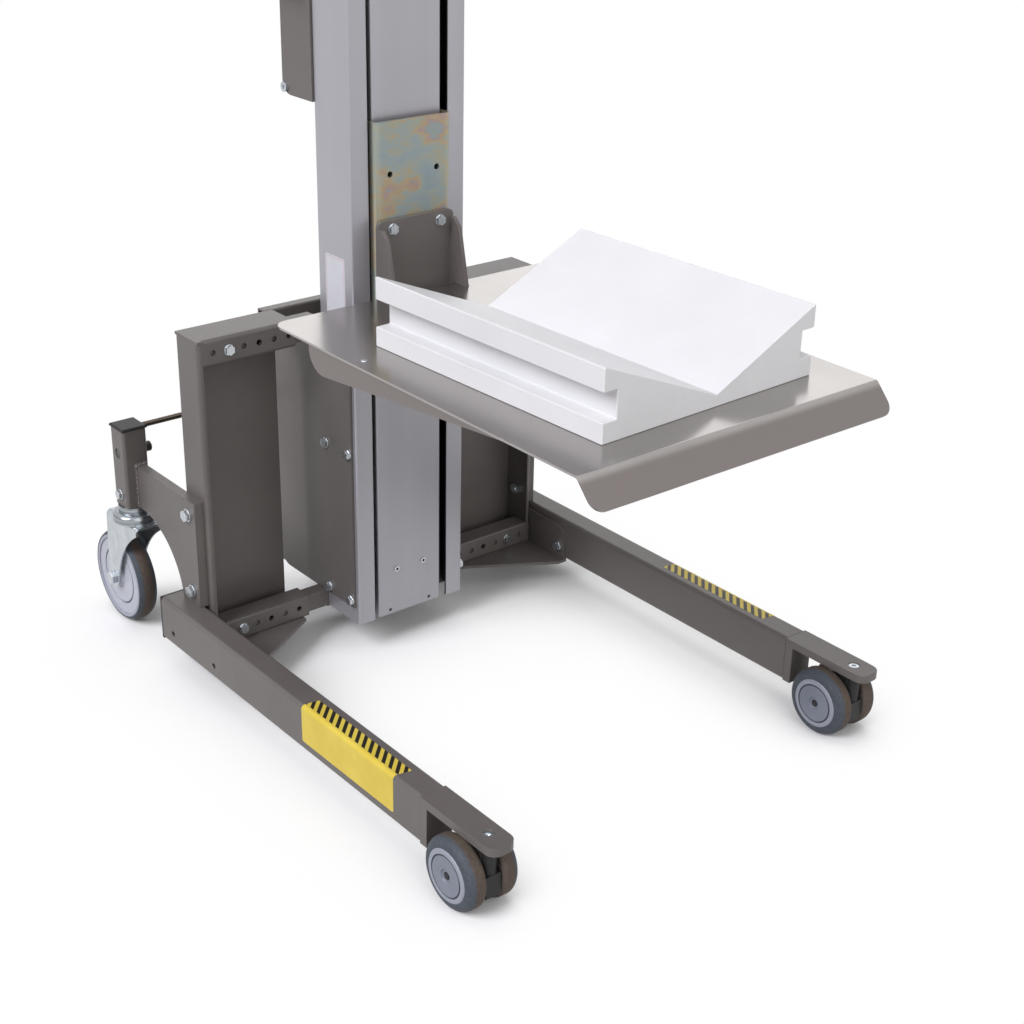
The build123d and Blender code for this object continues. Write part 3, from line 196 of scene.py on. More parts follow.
def surface(material, colour, rough, height, relief):
    # Link what changes over the surface. Relief is the depth of the height, and its strength
    shader = material.node_tree.nodes["Principled BSDF"]
    depth, strength = relief
    normal = height.node("Bump", values={"Strength": strength, "Distance": depth,
                                         "Height": height})
    for name, wire in (("Base Color", colour), ("Roughness", rough), ("Normal", normal)):
        if wire is not None:
            wire.tree.links.new(wire.socket, shader.inputs[name])
    return material


def noise(here, scale, detail=3.0, roughness=0.55, stretch=(1, 1, 1)):
    place = here
    if stretch != (1, 1, 1):
        place = here.node("Mapping", values={"Vector": here, "Scale": stretch})
    return here.node("TexNoise", values={"Vector": place, "Scale": scale, "Detail": detail,
                                         "Roughness": roughness})


def streaks(here, perMetre, detail=3.0, roughness=0.6):
    # Drawn, rolled or turned lines, with their number to the metre along x, y and z
    return noise(here, 1.0, detail, roughness, perMetre)


def split(here):
    parts = here.node("SeparateXYZ", values={0: here})
    return [Wire(here.tree, socket) for socket in parts.socket.node.outputs]


paint = {
    "darker": "#5d5856",
    "lighter": "#696461",
    "rubbed": "#7b7774",
    "rubbing": 0.16,          # how much of the rubbed colour a scuff shows
    "clouds": 5.0,            # to the metre, and so are the next three
    "grains": 950.0,
    "dimples": 170.0,
    "scuffs": 38.0,
    "scuffed": (0.64, 0.76),  # where in its noise a scuff begins and is full
    "rough": 0.34,
    "relief": (0.10 * mm, 0.6),
}


def framePaint():
    material, here = newMaterial("framePaint", Specular_IOR_Level=0.42)
    cloud = noise(here, paint["clouds"], 4.0)
    speck = noise(here, paint["grains"], 2.0)
    peel = noise(here, paint["dimples"], 2.0)
    tone = (cloud * 0.65 + speck * 0.35).fade()
    colour = tone.blend(paint["darker"], paint["lighter"])
    scuff = noise(here, paint["scuffs"], 6.0, 0.7, (1, 1, 0.3)).fade(*paint["scuffed"])
    colour = (scuff * paint["rubbing"]).blend(colour, paint["rubbed"])
    return surface(material, colour, paint["rough"] + peel * 0.12 + scuff * 0.1,
                   speck * 0.6 + peel * 0.4, paint["relief"])


anodising = {
    "darker": "#a3a2a8",
    "lighter": "#b0afb5",
    "handled": "#8e8c90",
    "handling": 0.1,          # how much of the handled colour a smudge shows
    "clouds": 3.0,
    "smudges": 22.0,
    "smudged": (0.6, 0.8),
    # painted shade in the mast's cavity behind the slots
    "inside": "#2b2b2d",
    "skin": 1.0 * mm,         # further in than this, the mast is cavity and is painted in shade
    "drawLines": (420.0, 420.0, 1.2),
    "bands": (16.0, 16.0, 0.4),
    "rough": 0.34,
    "relief": (0.02 * mm, 0.5),
}


def anodisedAluminium(name, shadedCavity):
    # The extruder's lines run up the mast, and the cavity behind the slots gets painted shade
    material, here = newMaterial(name, Metallic=0.55)
    lines = streaks(here, anodising["drawLines"], 4.0)
    bands = streaks(here, anodising["bands"], 2.0, 0.5)
    cloud = noise(here, anodising["clouds"])
    tone = (lines * 0.2 + bands * 0.4 + cloud * 0.4).fade(0.25, 0.75)
    colour = tone.blend(anodising["darker"], anodising["lighter"])
    handled = noise(here, anodising["smudges"], 5.0, 0.65).fade(*anodising["smudged"])
    colour = (handled * anodising["handling"]).blend(colour, anodising["handled"])
    # Painted shade: dark inside the mast's hollow, behind the slots
    if shadedCavity:
        low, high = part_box("mast_profile")
        x, y, z = split(here)
        skin = anodising["skin"]
        insideX = abs(x) < high[0] - skin
        insideY = (y > low[1] + skin) * (y < high[1] - skin)
        insideZ = z < high[2] - skin
        colour = (insideX * insideY * insideZ).blend(colour, anodising["inside"])
    return surface(material, colour, anodising["rough"] + lines * 0.08 + handled * 0.08,
                   lines, anodising["relief"])


channel = {
    "darker": "#171718",
    "lighter": "#242324",
    "lines": (300.0, 300.0, 4.0),
    "rough": 0.5,
    "relief": (0.03 * mm, 0.5),
}


def darkChannel():
    material, here = newMaterial("darkChannel", Specular_IOR_Level=0.2)
    lines = streaks(here, channel["lines"])
    colour = lines.blend(channel["darker"], channel["lighter"])
    return surface(material, colour, channel["rough"] + lines * 0.2, lines, channel["relief"])


chromate = {
    "stops": [(0.0, "#83929b"), (0.30, "#8f9a9a"), (0.48, "#9a9a8a"), (0.60, "#ab9676"),
              (0.70, "#a18b84"), (0.82, "#8c979a"), (1.0, "#949989")],
    # painted highlight along the sheet's bends, paler towards its sides
    "edge": "#b5b29c",
    "edgeShare": 0.3,
    "edgeFrom": 14 * mm,      # the painted highlight begins and is full this far from the side
    "edgeFull": 4 * mm,
    "dull": "#77766b",
    "dullShare": 0.12,
    "drifts": 14.0,
    "clouds": 34.0,
    "film": (0.26, 0.74),     # the part of the noise that all the stops are spread over
    "lines": (90.0, 90.0, 900.0),
    "rough": 0.28,
    "relief": (0.02 * mm, 0.5),
}


def zincPlate():
    # Yellow passivated zinc: faint thin-film colours drift over the sheet, with a painted
    # highlight at its bends
    material, here = newMaterial("zincPlate", Metallic=0.8)
    drift = noise(here, chromate["drifts"], 2.0, 0.5, (1, 1, 0.7))
    cloud = noise(here, chromate["clouds"], 4.0, 0.6, (1, 1, 2.2))
    grain = streaks(here, chromate["lines"])
    film = (drift * 0.55 + cloud * 0.45).fade(*chromate["film"])
    colour = film.node("ValToRGB", {"stops": chromate["stops"]}, {"Fac": film})
    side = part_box("carriage_plate")[1][0]
    x = split(here)[0]
    # Painted highlight along the bends at the sheet's sides
    bendHighlight = abs(x).fade(side - chromate["edgeFrom"], side - chromate["edgeFull"])
    colour = (bendHighlight * chromate["edgeShare"]).blend(colour, chromate["edge"])
    colour = (grain * chromate["dullShare"]).blend(colour, chromate["dull"])
    return surface(material, colour, chromate["rough"] + cloud * 0.12 + grain * 0.06,
                   grain, chromate["relief"])


bright = {
    "darker": "#b3b8bd",
    "lighter": "#c9ced2",
    "cup": "#83888d",         # painted reflection on the rear casters' turned cups, which mirror the dark frame
    "cupFrom": 187.0 * mm,
    "cupFull": 192.0 * mm,
    # painted shade in the sockets of the cover's two screws
    "socket": "#2c2d2f",
    "socketShare": 0.85,
    "socketX": 25.0 * mm,
    "socketZ": 125.5 * mm,
    "socketRadius": 2.5 * mm,
    "clouds": 50.0,
    "lines": (260.0, 260.0, 14.0),
    "rings": (4.0, 4.0, 260.0),
    "rough": 0.15,
    "relief": (0.02 * mm, 0.5),
}


def brightZinc(name, cup=False, shadedSockets=False):
    material, here = newMaterial(name, Metallic=0.9)
    cloud = noise(here, bright["clouds"])
    streak = streaks(here, bright["lines"])
    tone = (cloud * 0.6 + streak * 0.4).fade()
    colour = tone.blend(bright["darker"], bright["lighter"])
    if cup:
        # Painted reflection of the dark frame on the cups, in bands
        rings = streaks(here, bright["rings"], 2.0, 0.5).fade(0.35, 0.65)
        high = split(here)[2].fade(bright["cupFrom"], bright["cupFull"])
        colour = (high * (0.45 + rings * 0.5)).blend(colour, bright["cup"])
    if shadedSockets:
        # Painted shade in the sockets of the cover's two screws
        x, _, z = split(here)
        dx = abs(x) - bright["socketX"]
        dz = z - bright["socketZ"]
        inside = dx * dx + dz * dz < bright["socketRadius"] ** 2
        colour = (inside * bright["socketShare"]).blend(colour, bright["socket"])
    return surface(material, colour, bright["rough"] + cloud * 0.08 + streak * 0.08,
                   streak, bright["relief"])


steel = {
    "lengthLines": (2600.0, 40.0, 2600.0),
    "smears": 7.0,
    "dints": 26.0,
    "darker": "#a19d9b",
    "lighter": "#aba7a5",
    "bent": "#837c7b",        # painted shade on the lip and the flanges, which face away from the light
    "bentFrom": 1.5 * mm,     # below the tray's top
    "bentFull": 9 * mm,
    "rough": 0.15,
    "relief": (0.3 * mm, 0.12),
}


def stainlessSheet():
    # A fine rolled grain along the tray with faint smears, and painted shade on the bent lip and
    # flanges
    material, here = newMaterial("stainlessSheet", Metallic=0.9)
    grain = streaks(here, steel["lengthLines"], 4.0, 0.65)
    smear = noise(here, steel["smears"], 5.0, 0.6, (1.0, 0.4, 1.0))
    dint = noise(here, steel["dints"], 2.0)
    tone = (grain * 0.15 + smear * 0.85).fade()
    colour = tone.blend(steel["darker"], steel["lighter"])
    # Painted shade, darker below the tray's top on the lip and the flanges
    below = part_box("tray")[1][2] - split(here)[2]
    bent = below.fade(steel["bentFrom"], steel["bentFull"])
    colour = bent.blend(colour, steel["bent"])
    return surface(material, colour, steel["rough"] + smear * 0.08 + grain * 0.03,
                   dint, steel["relief"])


whiteBlock = {
    "darker": "#dddddf",
    "lighter": "#e3e3e5",
    "smudge": "#cfcfcf",
    "smudging": 0.14,         # how much of the smudge's colour it shows
    "smudges": 30.0,
    "smudged": (0.62, 0.78),
    "clouds": 6.0,
    "cutterBands": (60.0, 1500.0, 60.0),
    "rough": 0.36,
    "relief": (0.04 * mm, 0.5),
}


def whitePlastic():
    # Milled polyethylene: slightly waxy, with soft clouding and very faint cutter bands
    material, here = newMaterial("whitePlastic", Specular_IOR_Level=0.3)
    cloud = noise(here, whiteBlock["clouds"])
    fine = streaks(here, whiteBlock["cutterBands"], 2.0, 0.5)
    smudge = noise(here, whiteBlock["smudges"], 5.0, 0.65).fade(*whiteBlock["smudged"])
    tone = (cloud * 0.75 + fine * 0.25).fade()
    colour = tone.blend(whiteBlock["darker"], whiteBlock["lighter"])
    colour = (smudge * whiteBlock["smudging"]).blend(colour, whiteBlock["smudge"])
    return surface(material, colour, whiteBlock["rough"] + fine * 0.06 + cloud * 0.06,
                   fine * 0.4 + cloud * 0.6, whiteBlock["relief"])


moulding = {
    "clouds": 18.0,           # to the metre, and so are the grains
    "grains": 1600.0,
    "grainRough": 0.12,       # what the grain adds to the roughness
    "strength": 0.6,
}
mouldings = {
    # Name, darker and lighter colour, roughness, height of the grain
    "black_plastic": ("blackPlastic", "#1c1b1b", "#262525", 0.42, 0.06 * mm),
    "battery_case": ("batteryCase", "#2a2c30", "#34363b", 0.5, 0.08 * mm),
    "green_button": ("greenButton", "#2f7d4a", "#378a54", 0.32, 0.03 * mm),
    "red_button": ("redButton", "#b3231f", "#c22c26", 0.3, 0.03 * mm),
    "white_mark": ("whiteMark", "#dcdcdc", "#e6e6e6", 0.5, 0.02 * mm),
}


def mouldedPlastic(name, darker, lighter, rough, grainHeight):
    material, here = newMaterial(name, Specular_IOR_Level=0.3)
    cloud = noise(here, moulding["clouds"])
    grain = noise(here, moulding["grains"], 2.0)
    colour = (cloud * 0.7 + grain * 0.3).fade().blend(darker, lighter)
    return surface(material, colour, rough + grain * moulding["grainRough"],
                   grain, (grainHeight, moulding["strength"]))


grips = {
    "ribPitch": 5.0 * mm,
    "grains": 900.0,
    "darker": "#18181a",
    "lighter": "#2a2a2c",
    "rough": 0.55,
    "relief": (1.2 * mm, 0.8),
}


def gripRubber():
    # Black rubber with ribs round each grip
    material, here = newMaterial("gripRubber", Specular_IOR_Level=0.25)
    rib = (split(here)[0] / grips["ribPitch"]).wave().fade(0.2, 0.8)
    grain = noise(here, grips["grains"], 2.0)
    colour = rib.blend(grips["darker"], grips["lighter"])
    return surface(material, colour, grips["rough"] + grain * 0.15,
                   rib * 0.9 + grain * 0.1, grips["relief"])


rims = {
    # The groove's radius and half its width, the radius of the front's dark hub, and the painted
    # highlight on the ring outside the groove
    "front": {"face": ("#747986", "#7f8491"), "ring": "#9599a5", "groove": 28.3 * mm,
              "half": 1.1 * mm, "hub": 5.5 * mm},
    "rear": {"face": ("#b0b2bd", "#b9bbc6"), "ring": "#b4b6c1", "groove": 45.0 * mm,
             "half": 1.2 * mm, "hub": 0.0},
    "grooveShade": "#24262b",
    "grooveShare": 0.85,
    "hubShade": "#1b1b1d",
    "soft": 0.3 * mm,         # over which the groove's edges fade, to either side
    "rough": 0.34,
    "grainHeight": 0.04 * mm,
}


def radius(here, axleY, axleZ):
    # Distance from a wheel's axle, which runs along x
    _, y, z = split(here)
    dy = y - axleY
    dz = z - axleZ
    return (dy * dy + dz * dz).sum("SQRT")


def rimPlastic(name, node, rim):
    # Moulded rim: a painted highlight on the ring outside a thin groove, with painted shade in
    # the groove and in the front's hub
    material, here = newMaterial(name, Specular_IOR_Level=0.3)
    cloud = noise(here, moulding["clouds"])
    grain = noise(here, moulding["grains"], 2.0)
    out = radius(here, mid(node, 1), mid(node, 2))
    colour = cloud.fade().blend(*rim["face"])
    # Painted highlight on the ring outside the groove
    colour = (out > rim["groove"]).blend(colour, rim["ring"])
    half, soft = rim["half"], rims["soft"]
    groove = 1 - abs(out - rim["groove"]).fade(half - soft, half + soft)
    colour = (groove * rims["grooveShare"]).blend(colour, rims["grooveShade"])
    if rim["hub"]:
        colour = (out < rim["hub"]).blend(colour, rims["hubShade"])
    return surface(material, colour, rims["rough"] + grain * moulding["grainRough"],
                   grain, (rims["grainHeight"], moulding["strength"]))


tread = {
    # The brown band: its middle's distance from the caster's middle, and half its width.
    # Pale is the radius out to which a rear tyre is as pale as its rim
    "front": {"from": 21.0 * mm, "half": 8.0 * mm, "pale": 0.0},
    "rear": {"from": 0.0, "half": 7.5 * mm, "pale": 67.5 * mm},
    "rearPale": "#a6a9b4",
    "wall": ("#454a52", "#4f545c"),
    "band": ("#524841", "#5f544c"),
    "bandFade": 3 * mm,
    "waver": 2 * mm,          # how far the band's edge wanders
    "wavers": 120.0,          # and how often to the metre
    "paleFade": 1 * mm,
    "scuffs": 3.0,
    "scuffStretch": (2.2, 180.0),    # round the wheel, and to the metre across it
    "grains": 700.0,
    "rough": 0.52,
    "relief": (0.10 * mm, 0.6),
}


def tyreRubber(name, node, middleX, band):
    # Grey rubber side walls and a browner rolling band, scuffed round the wheel
    material, here = newMaterial(name, Specular_IOR_Level=0.22)
    x, y, z = split(here)
    axleY, axleZ = mid(node, 1), mid(node, 2)
    across = abs(abs(abs(x) - middleX) - band["from"])
    waver = noise(here, tread["wavers"]) * tread["waver"]
    isBand = 1 - (across + waver).fade(band["half"], band["half"] + tread["bandFade"])
    turn = (z - axleZ).sum("ARCTAN2", y - axleY)
    perTurn, perMetre = tread["scuffStretch"]
    around = here.node("CombineXYZ", values={0: turn * perTurn, 1: x * perMetre, 2: 0.0})
    scuffs = noise(around, tread["scuffs"], 4.0, 0.5)
    grain = noise(here, tread["grains"])
    wall = scuffs.fade().blend(*tread["wall"])
    if band["pale"]:
        limit, soft = band["pale"], tread["paleFade"]
        pale = 1 - radius(here, axleY, axleZ).fade(limit - soft, limit + soft)
        wall = pale.blend(wall, tread["rearPale"])
    rolling = scuffs.fade().blend(*tread["band"])
    return surface(material, isBand.blend(wall, rolling),
                   tread["rough"] + isBand * 0.14 + grain * 0.1,
                   grain * 0.6 + scuffs * 0.4, tread["relief"])


turning = {"rings": (40.0, 40.0, 1800.0), "rough": 0.26, "relief": (0.03 * mm, 0.5)}
turnings = {
    # Name, darker and lighter colour, share of metal
    "machined_steel": ("machinedSteel", "#85888b", "#a5a8aa", 0.95),
    "browned_bar": ("brownedBar", "#61584f", "#756b61", 0.7),
    "dark_pin": ("darkPin", "#494644", "#595653", 0.6),
    "bronze": ("castBronze", "#94733f", "#b79355", 0.9),
}


def turnedMetal(name, darker, lighter, metal):
    material, here = newMaterial(name, Metallic=metal)
    rings = streaks(here, turning["rings"])
    colour = rings.fade().blend(darker, lighter)
    return surface(material, colour, turning["rough"] + rings * 0.14, rings, turning["relief"])


thread = {
    "pitch": 4 * mm,
    "groove": "#5c5d5e",
    "ridge": "#9b9ea0",
    "oilPatches": 90.0,
    "rough": 0.22,
    "relief": (1.2 * mm, 1.0),
}


def screwThread():
    # The lifting thread winds round its axis, and its oil film is uneven
    material, here = newMaterial("screwThread", Metallic=0.9)
    x, y, z = split(here)
    turn = (y - mid("lift_screw", 1)).sum("ARCTAN2", x) / (2 * math.pi)
    ridge = (z / thread["pitch"] + turn).wave()
    oily = noise(here, thread["oilPatches"])
    colour = ridge.blend(thread["groove"], thread["ridge"])
    return surface(material, colour, thread["rough"] + oily * 0.2, ridge, thread["relief"])


legMarking = {
    "yellow": ("#d6bd48", "#dfc752"),
    "black": "#1d1b16",
    "worn": "#6b6140",
    "wear": 0.35,             # how much of the worn colour a rubbed place shows
    "rubs": 60.0,
    "rubbed": (0.66, 0.74),
    "clouds": 24.0,
    "grains": 220.0,
    "pitch": 15.0 * mm,       # along the leg, one yellow and one black stripe
    "soft": 0.2 * mm,         # over which a stripe's edges fade, to either side
    "topMargin": 0.6 * mm,
    "foldMargin": 0.5 * mm,
    "relief": (0.05 * mm, 0.5),
    "back": -231.0 * mm,      # from the mast's front face
    "front": -443.0 * mm,
    "bottom": 59.0 * mm,
    "flap": 26.0 * mm,        # how far the top flap reaches in from the outer face
    "slant": 5.0 * mm,
    "corner": 6.0 * mm,       # the tube's rounded corner
    "round": 3.0 * mm,
    "flapRound": 1.5 * mm,
    "thick": 0.15 * mm,
}


def stripedVinyl():
    # Diagonal stripes on the top flap only, plain yellow on the outer face
    material, here = newMaterial("stripedVinyl", Roughness=0.4, Specular_IOR_Level=0.3)
    x, y, z = split(here)
    face, _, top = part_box("leg_tube_right")[1]
    fold = face - legMarking["corner"] - legMarking["foldMargin"]
    onTop = (z > top - legMarking["topMargin"]) * (abs(x) < fold)
    pitch, soft = legMarking["pitch"], legMarking["soft"]
    saw = ((x - y) / pitch).sum("FRACT")
    stripe = (abs(saw - 0.5) * pitch).fade(pitch / 4 - soft, pitch / 4 + soft)
    yellow = noise(here, legMarking["clouds"], 4.0).fade().blend(*legMarking["yellow"])
    rubbed = noise(here, legMarking["rubs"], 6.0, 0.7).fade(*legMarking["rubbed"])
    black = (rubbed * legMarking["wear"]).blend(legMarking["black"], legMarking["worn"])
    colour = (stripe * onTop).blend(yellow, black)
    grain = noise(here, legMarking["grains"], 2.0)
    return surface(material, colour, None, grain, legMarking["relief"])


dataPlate = {
    "white": ("#c9c9d0", "#d3d3da"),
    "clouds": 60.0,
    "line": "#c0606a",
    "lineShare": 0.6,
    "lineIn": 2.6 * mm,       # from the plate's edge
    "lineHalf": 0.2 * mm,     # half the line's width, and where its fading ends
    "lineFade": 0.55 * mm,
    "relief": (0.03 * mm, 0.4),
    "front": 18.5 * mm,       # from the mast's front face
    "width": 48.0 * mm,
    "top": 627.0 * mm,
    "height": 112.0 * mm,
    "thick": 0.2 * mm,
    "corner": 2.5 * mm,
}


def plateSpan():
    # The plate's lowest and highest corner, in y and z
    y0 = mastFaceY + dataPlate["front"]
    z1 = dataPlate["top"]
    return (y0, z1 - dataPlate["height"]), (y0 + dataPlate["width"], z1)


def bareLabel():
    # A blank white data plate with a thin red line inside its edge
    material, here = newMaterial("bareLabel", Roughness=0.42, Specular_IOR_Level=0.3)
    _, y, z = split(here)
    low, high = plateSpan()
    fromEdgeY = abs(y - (low[0] + high[0]) / 2) - (high[0] - low[0]) / 2
    fromEdgeZ = abs(z - (low[1] + high[1]) / 2) - (high[1] - low[1]) / 2
    fromLine = abs(fromEdgeY.sum("MAXIMUM", fromEdgeZ) + dataPlate["lineIn"])
    line = 1 - fromLine.fade(dataPlate["lineHalf"], dataPlate["lineFade"])
    cloud = noise(here, dataPlate["clouds"])
    white = cloud.blend(*dataPlate["white"])
    colour = (line * dataPlate["lineShare"]).blend(white, dataPlate["line"])
    return surface(material, colour, None, cloud, dataPlate["relief"])


looks = {
    "frame_paint": framePaint(),
    "anodised_aluminium": anodisedAluminium("anodisedAluminium", False),
    # the mast, with painted shade in its cavity
    "mast": anodisedAluminium("anodisedMast", True),
    "dark_channel": darkChannel(),
    "zinc_plate": zincPlate(),
    "bright_zinc": brightZinc("brightZinc"),
    # the rear casters, with a painted reflection on their cups
    "caster_zinc": brightZinc("casterZinc", cup=True),
    # the cover screws, with painted shade in their sockets
    "cover_screws": brightZinc("coverScrewZinc", shadedSockets=True),
    "stainless_sheet": stainlessSheet(),
    "white_plastic": whitePlastic(),
    "front_rim": rimPlastic("frontRimPlastic", "front_outer_rim_right", rims["front"]),
    "rear_rim": rimPlastic("rearRimPlastic", "rear_wheel_right", rims["rear"]),
    "front_tyre": tyreRubber("frontTyreRubber", "front_outer_tyre_right",
                             mid("leg_tube_right", 0), tread["front"]),
    "rear_tyre": tyreRubber("rearTyreRubber", "rear_tyre_right",
                            mid("rear_tyre_right", 0), tread["rear"]),
    "screw_thread": screwThread(),
    "grip_rubber": gripRubber(),
    "striped_vinyl": stripedVinyl(),
    "bare_label": bareLabel(),
}
for look, values in mouldings.items():
    looks[look] = mouldedPlastic(*values)
for look, values in turnings.items():
    looks[look] = turnedMetal(*values)
print("materials made")


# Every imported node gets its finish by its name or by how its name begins

nodeLooks = {
    "mast_profile": "mast",
    "mast_front_cover": "anodised_aluminium",
    "mast_top_cap": "black_plastic",
    "mast_foot_plate": "dark_channel",
    "screw_bearings": "machined_steel",
    "lift_screw": "screw_thread",
    "drive_motor": "black_plastic",
    "battery_pack": "battery_case",
    "handle_grips": "grip_rubber",
    "end_caps": "black_plastic",
    "cross_bar": "browned_bar",
    "height_pins": "dark_pin",
    "frame_fasteners": "bright_zinc",
    "mast_fasteners": "cover_screws",
    "bracket_fasteners": "bright_zinc",
    "carriage_plate": "zinc_plate",
    "roller_axles": "machined_steel",
    "screw_nut": "bronze",
    "tray": "stainless_sheet",
    "tray_stiffeners": "stainless_sheet",
    "v_block": "white_plastic",
    "up_button": "green_button",
    "down_button": "green_button",
    "stop_button": "red_button",
}
familyLooks = {
    "guide_roller": "black_plastic",
    "front_caster_body": "black_plastic",
    "front_outer_rim": "front_rim",
    "front_inner_rim": "front_rim",
    "front_outer_tyre": "front_tyre",
    "front_inner_tyre": "front_tyre",
    "rear_caster_fork": "caster_zinc",
    "rear_wheel": "rear_rim",
    "rear_tyre": "rear_tyre",
}


def lookOf(name):
    if name in nodeLooks:
        return nodeLooks[name]
    for start, look in familyLooks.items():
        if name.startswith(start):
            return look
    return "frame_paint"


def dress(piece, look):
    piece.data.materials.clear()
    piece.data.materials.append(looks[look])


for nodeName, node in frame["nodes"].items():
    dress(node, lookOf(nodeName))
print("packed nodes dressed:", len(frame["nodes"]))


# Modelling helpers

def begin(add, **size):
    bpy.ops.object.select_all(action="DESELECT")
    add(**size)
    return bpy.context.active_object


def only(piece):
    bpy.ops.object.select_all(action="DESELECT")
    piece.select_set(True)
    bpy.context.view_layer.objects.active = piece


def pick(piece, kind, test):
    # Select the points, or the edges by their middles, that pass the test, and stay in edit mode
    bpy.ops.object.mode_set(mode="EDIT")
    bpy.ops.mesh.select_mode(type=kind)
    bpy.ops.mesh.select_all(action="DESELECT")
    bpy.ops.object.mode_set(mode="OBJECT")
    points = piece.data.vertices
    if kind == "EDGE":
        for edge in piece.data.edges:
            a, b = (points[i].co for i in edge.vertices)
            edge.select = test((a + b) / 2)
    else:
        for point in points:
            point.select = test(point.co)
    bpy.ops.object.mode_set(mode="EDIT")


def endEdit():
    bpy.ops.object.mode_set(mode="OBJECT")


def bake(piece, kind, **settings):
    # Add a modifier and apply it at once
    only(piece)
    modifier = piece.modifiers.new(kind.title(), kind)
    for name, value in settings.items():
        setattr(modifier, name, value)
    bpy.ops.object.modifier_apply(modifier=modifier.name)


def settle(piece, matrix):
    # Put the piece's place into its mesh, so that its object sits at the origin
    piece.matrix_world = matrix
    only(piece)
    bpy.ops.object.transform_apply(location=True, rotation=True, scale=True)


def copyOf(piece, matrix):
    twin = piece.copy()
    twin.data = piece.data.copy()
    bpy.context.collection.objects.link(twin)
    settle(twin, matrix)
    return twin


def joined(parts, name):
    bpy.ops.object.select_all(action="DESELECT")
    for part in parts:
        part.select_set(True)
    bpy.context.view_layer.objects.active = parts[0]
    bpy.ops.object.join()
    parts[0].name = name
    parts[0].data.name = name
    return parts[0]


def hand(piece, name, body, look, smoothAngle=50):
    # Name a finished piece, give it its finish and let it ride on its body
    piece.name = name
    piece.data.name = name
    only(piece)
    bpy.ops.object.shade_smooth_by_angle(angle=math.radians(smoothAngle))
    bake(piece, "WEIGHTED_NORMAL", keep_sharp=True, weight=50)
    dress(piece, look)
    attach(piece, body)


def outwards(place, direction):
    # The matrix that takes local +Z to the direction, at the place
    turn = Vector(direction).to_track_quat("Z", "Y").to_matrix().to_4x4()
    return Matrix.Translation(place) @ turn


# Sawn, bent and turned pieces with eased edges, from merged copies of their solids

easing = {
    "mergeWithin": 0.01 * mm,
    "flatWithin": 0.5,        # degrees
    "sharpFrom": 40,          # degrees
    "segments": 2,
}
easedEdges = {
    "v_block": 1.6 * mm,
    "fork_plate": 1.2 * mm,
    "caster_arm": 1.2 * mm,
    "central_chassis": 0.4 * mm,
    "tray_bracket": 0.8 * mm,
    "tray": 0.5 * mm,
    "tray_stiffeners": 0.4 * mm,
    "carriage_plate": 0.7 * mm,
    "control_box": 0.8 * mm,
    "end_caps": 0.4 * mm,
    "front_caster_body": 0.8 * mm,
    "front_outer_rim": 0.25 * mm,
    "front_inner_rim": 0.25 * mm,
    "rear_caster_fork": 0.5 * mm,
    "rear_wheel": 0.4 * mm,
    "frame_fasteners": 0.5 * mm,
    "mast_fasteners": 0.5 * mm,
    "bracket_fasteners": 0.5 * mm,
}
bodyOf = {node: body for body, nodes in frame["record"]["behaviour"]["bodies"].items()
          for node in nodes}


def easedCopy(nodeName, edge):
    piece = frame["nodes"][nodeName].copy()
    piece.data = piece.data.copy()
    bpy.context.collection.objects.link(piece)
    piece.parent = None
    piece.matrix_world = Matrix.Identity(4)
    only(piece)
    bpy.ops.object.mode_set(mode="EDIT")
    bpy.ops.mesh.select_all(action="SELECT")
    bpy.ops.mesh.remove_doubles(threshold=easing["mergeWithin"])
    bpy.ops.mesh.dissolve_limited(angle_limit=math.radians(easing["flatWithin"]))
    endEdit()
    bake(piece, "BEVEL", width=edge, segments=easing["segments"], limit_method="ANGLE",
         angle_limit=math.radians(easing["sharpFrom"]), use_clamp_overlap=True)
    return piece


def easeNodes():
    for start, edge in easedEdges.items():
        names = (start, start + "_left", start + "_right")
        for nodeName in [name for name in frame["nodes"] if name in names]:
            piece = easedCopy(nodeName, edge)
            hand(piece, nodeName + "_eased", bodyOf[nodeName],
                 lookOf(nodeName))
            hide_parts(nodeName)


easeNodes()
print("edges eased")


# Yellow markings folded over the outer top edge of each leg

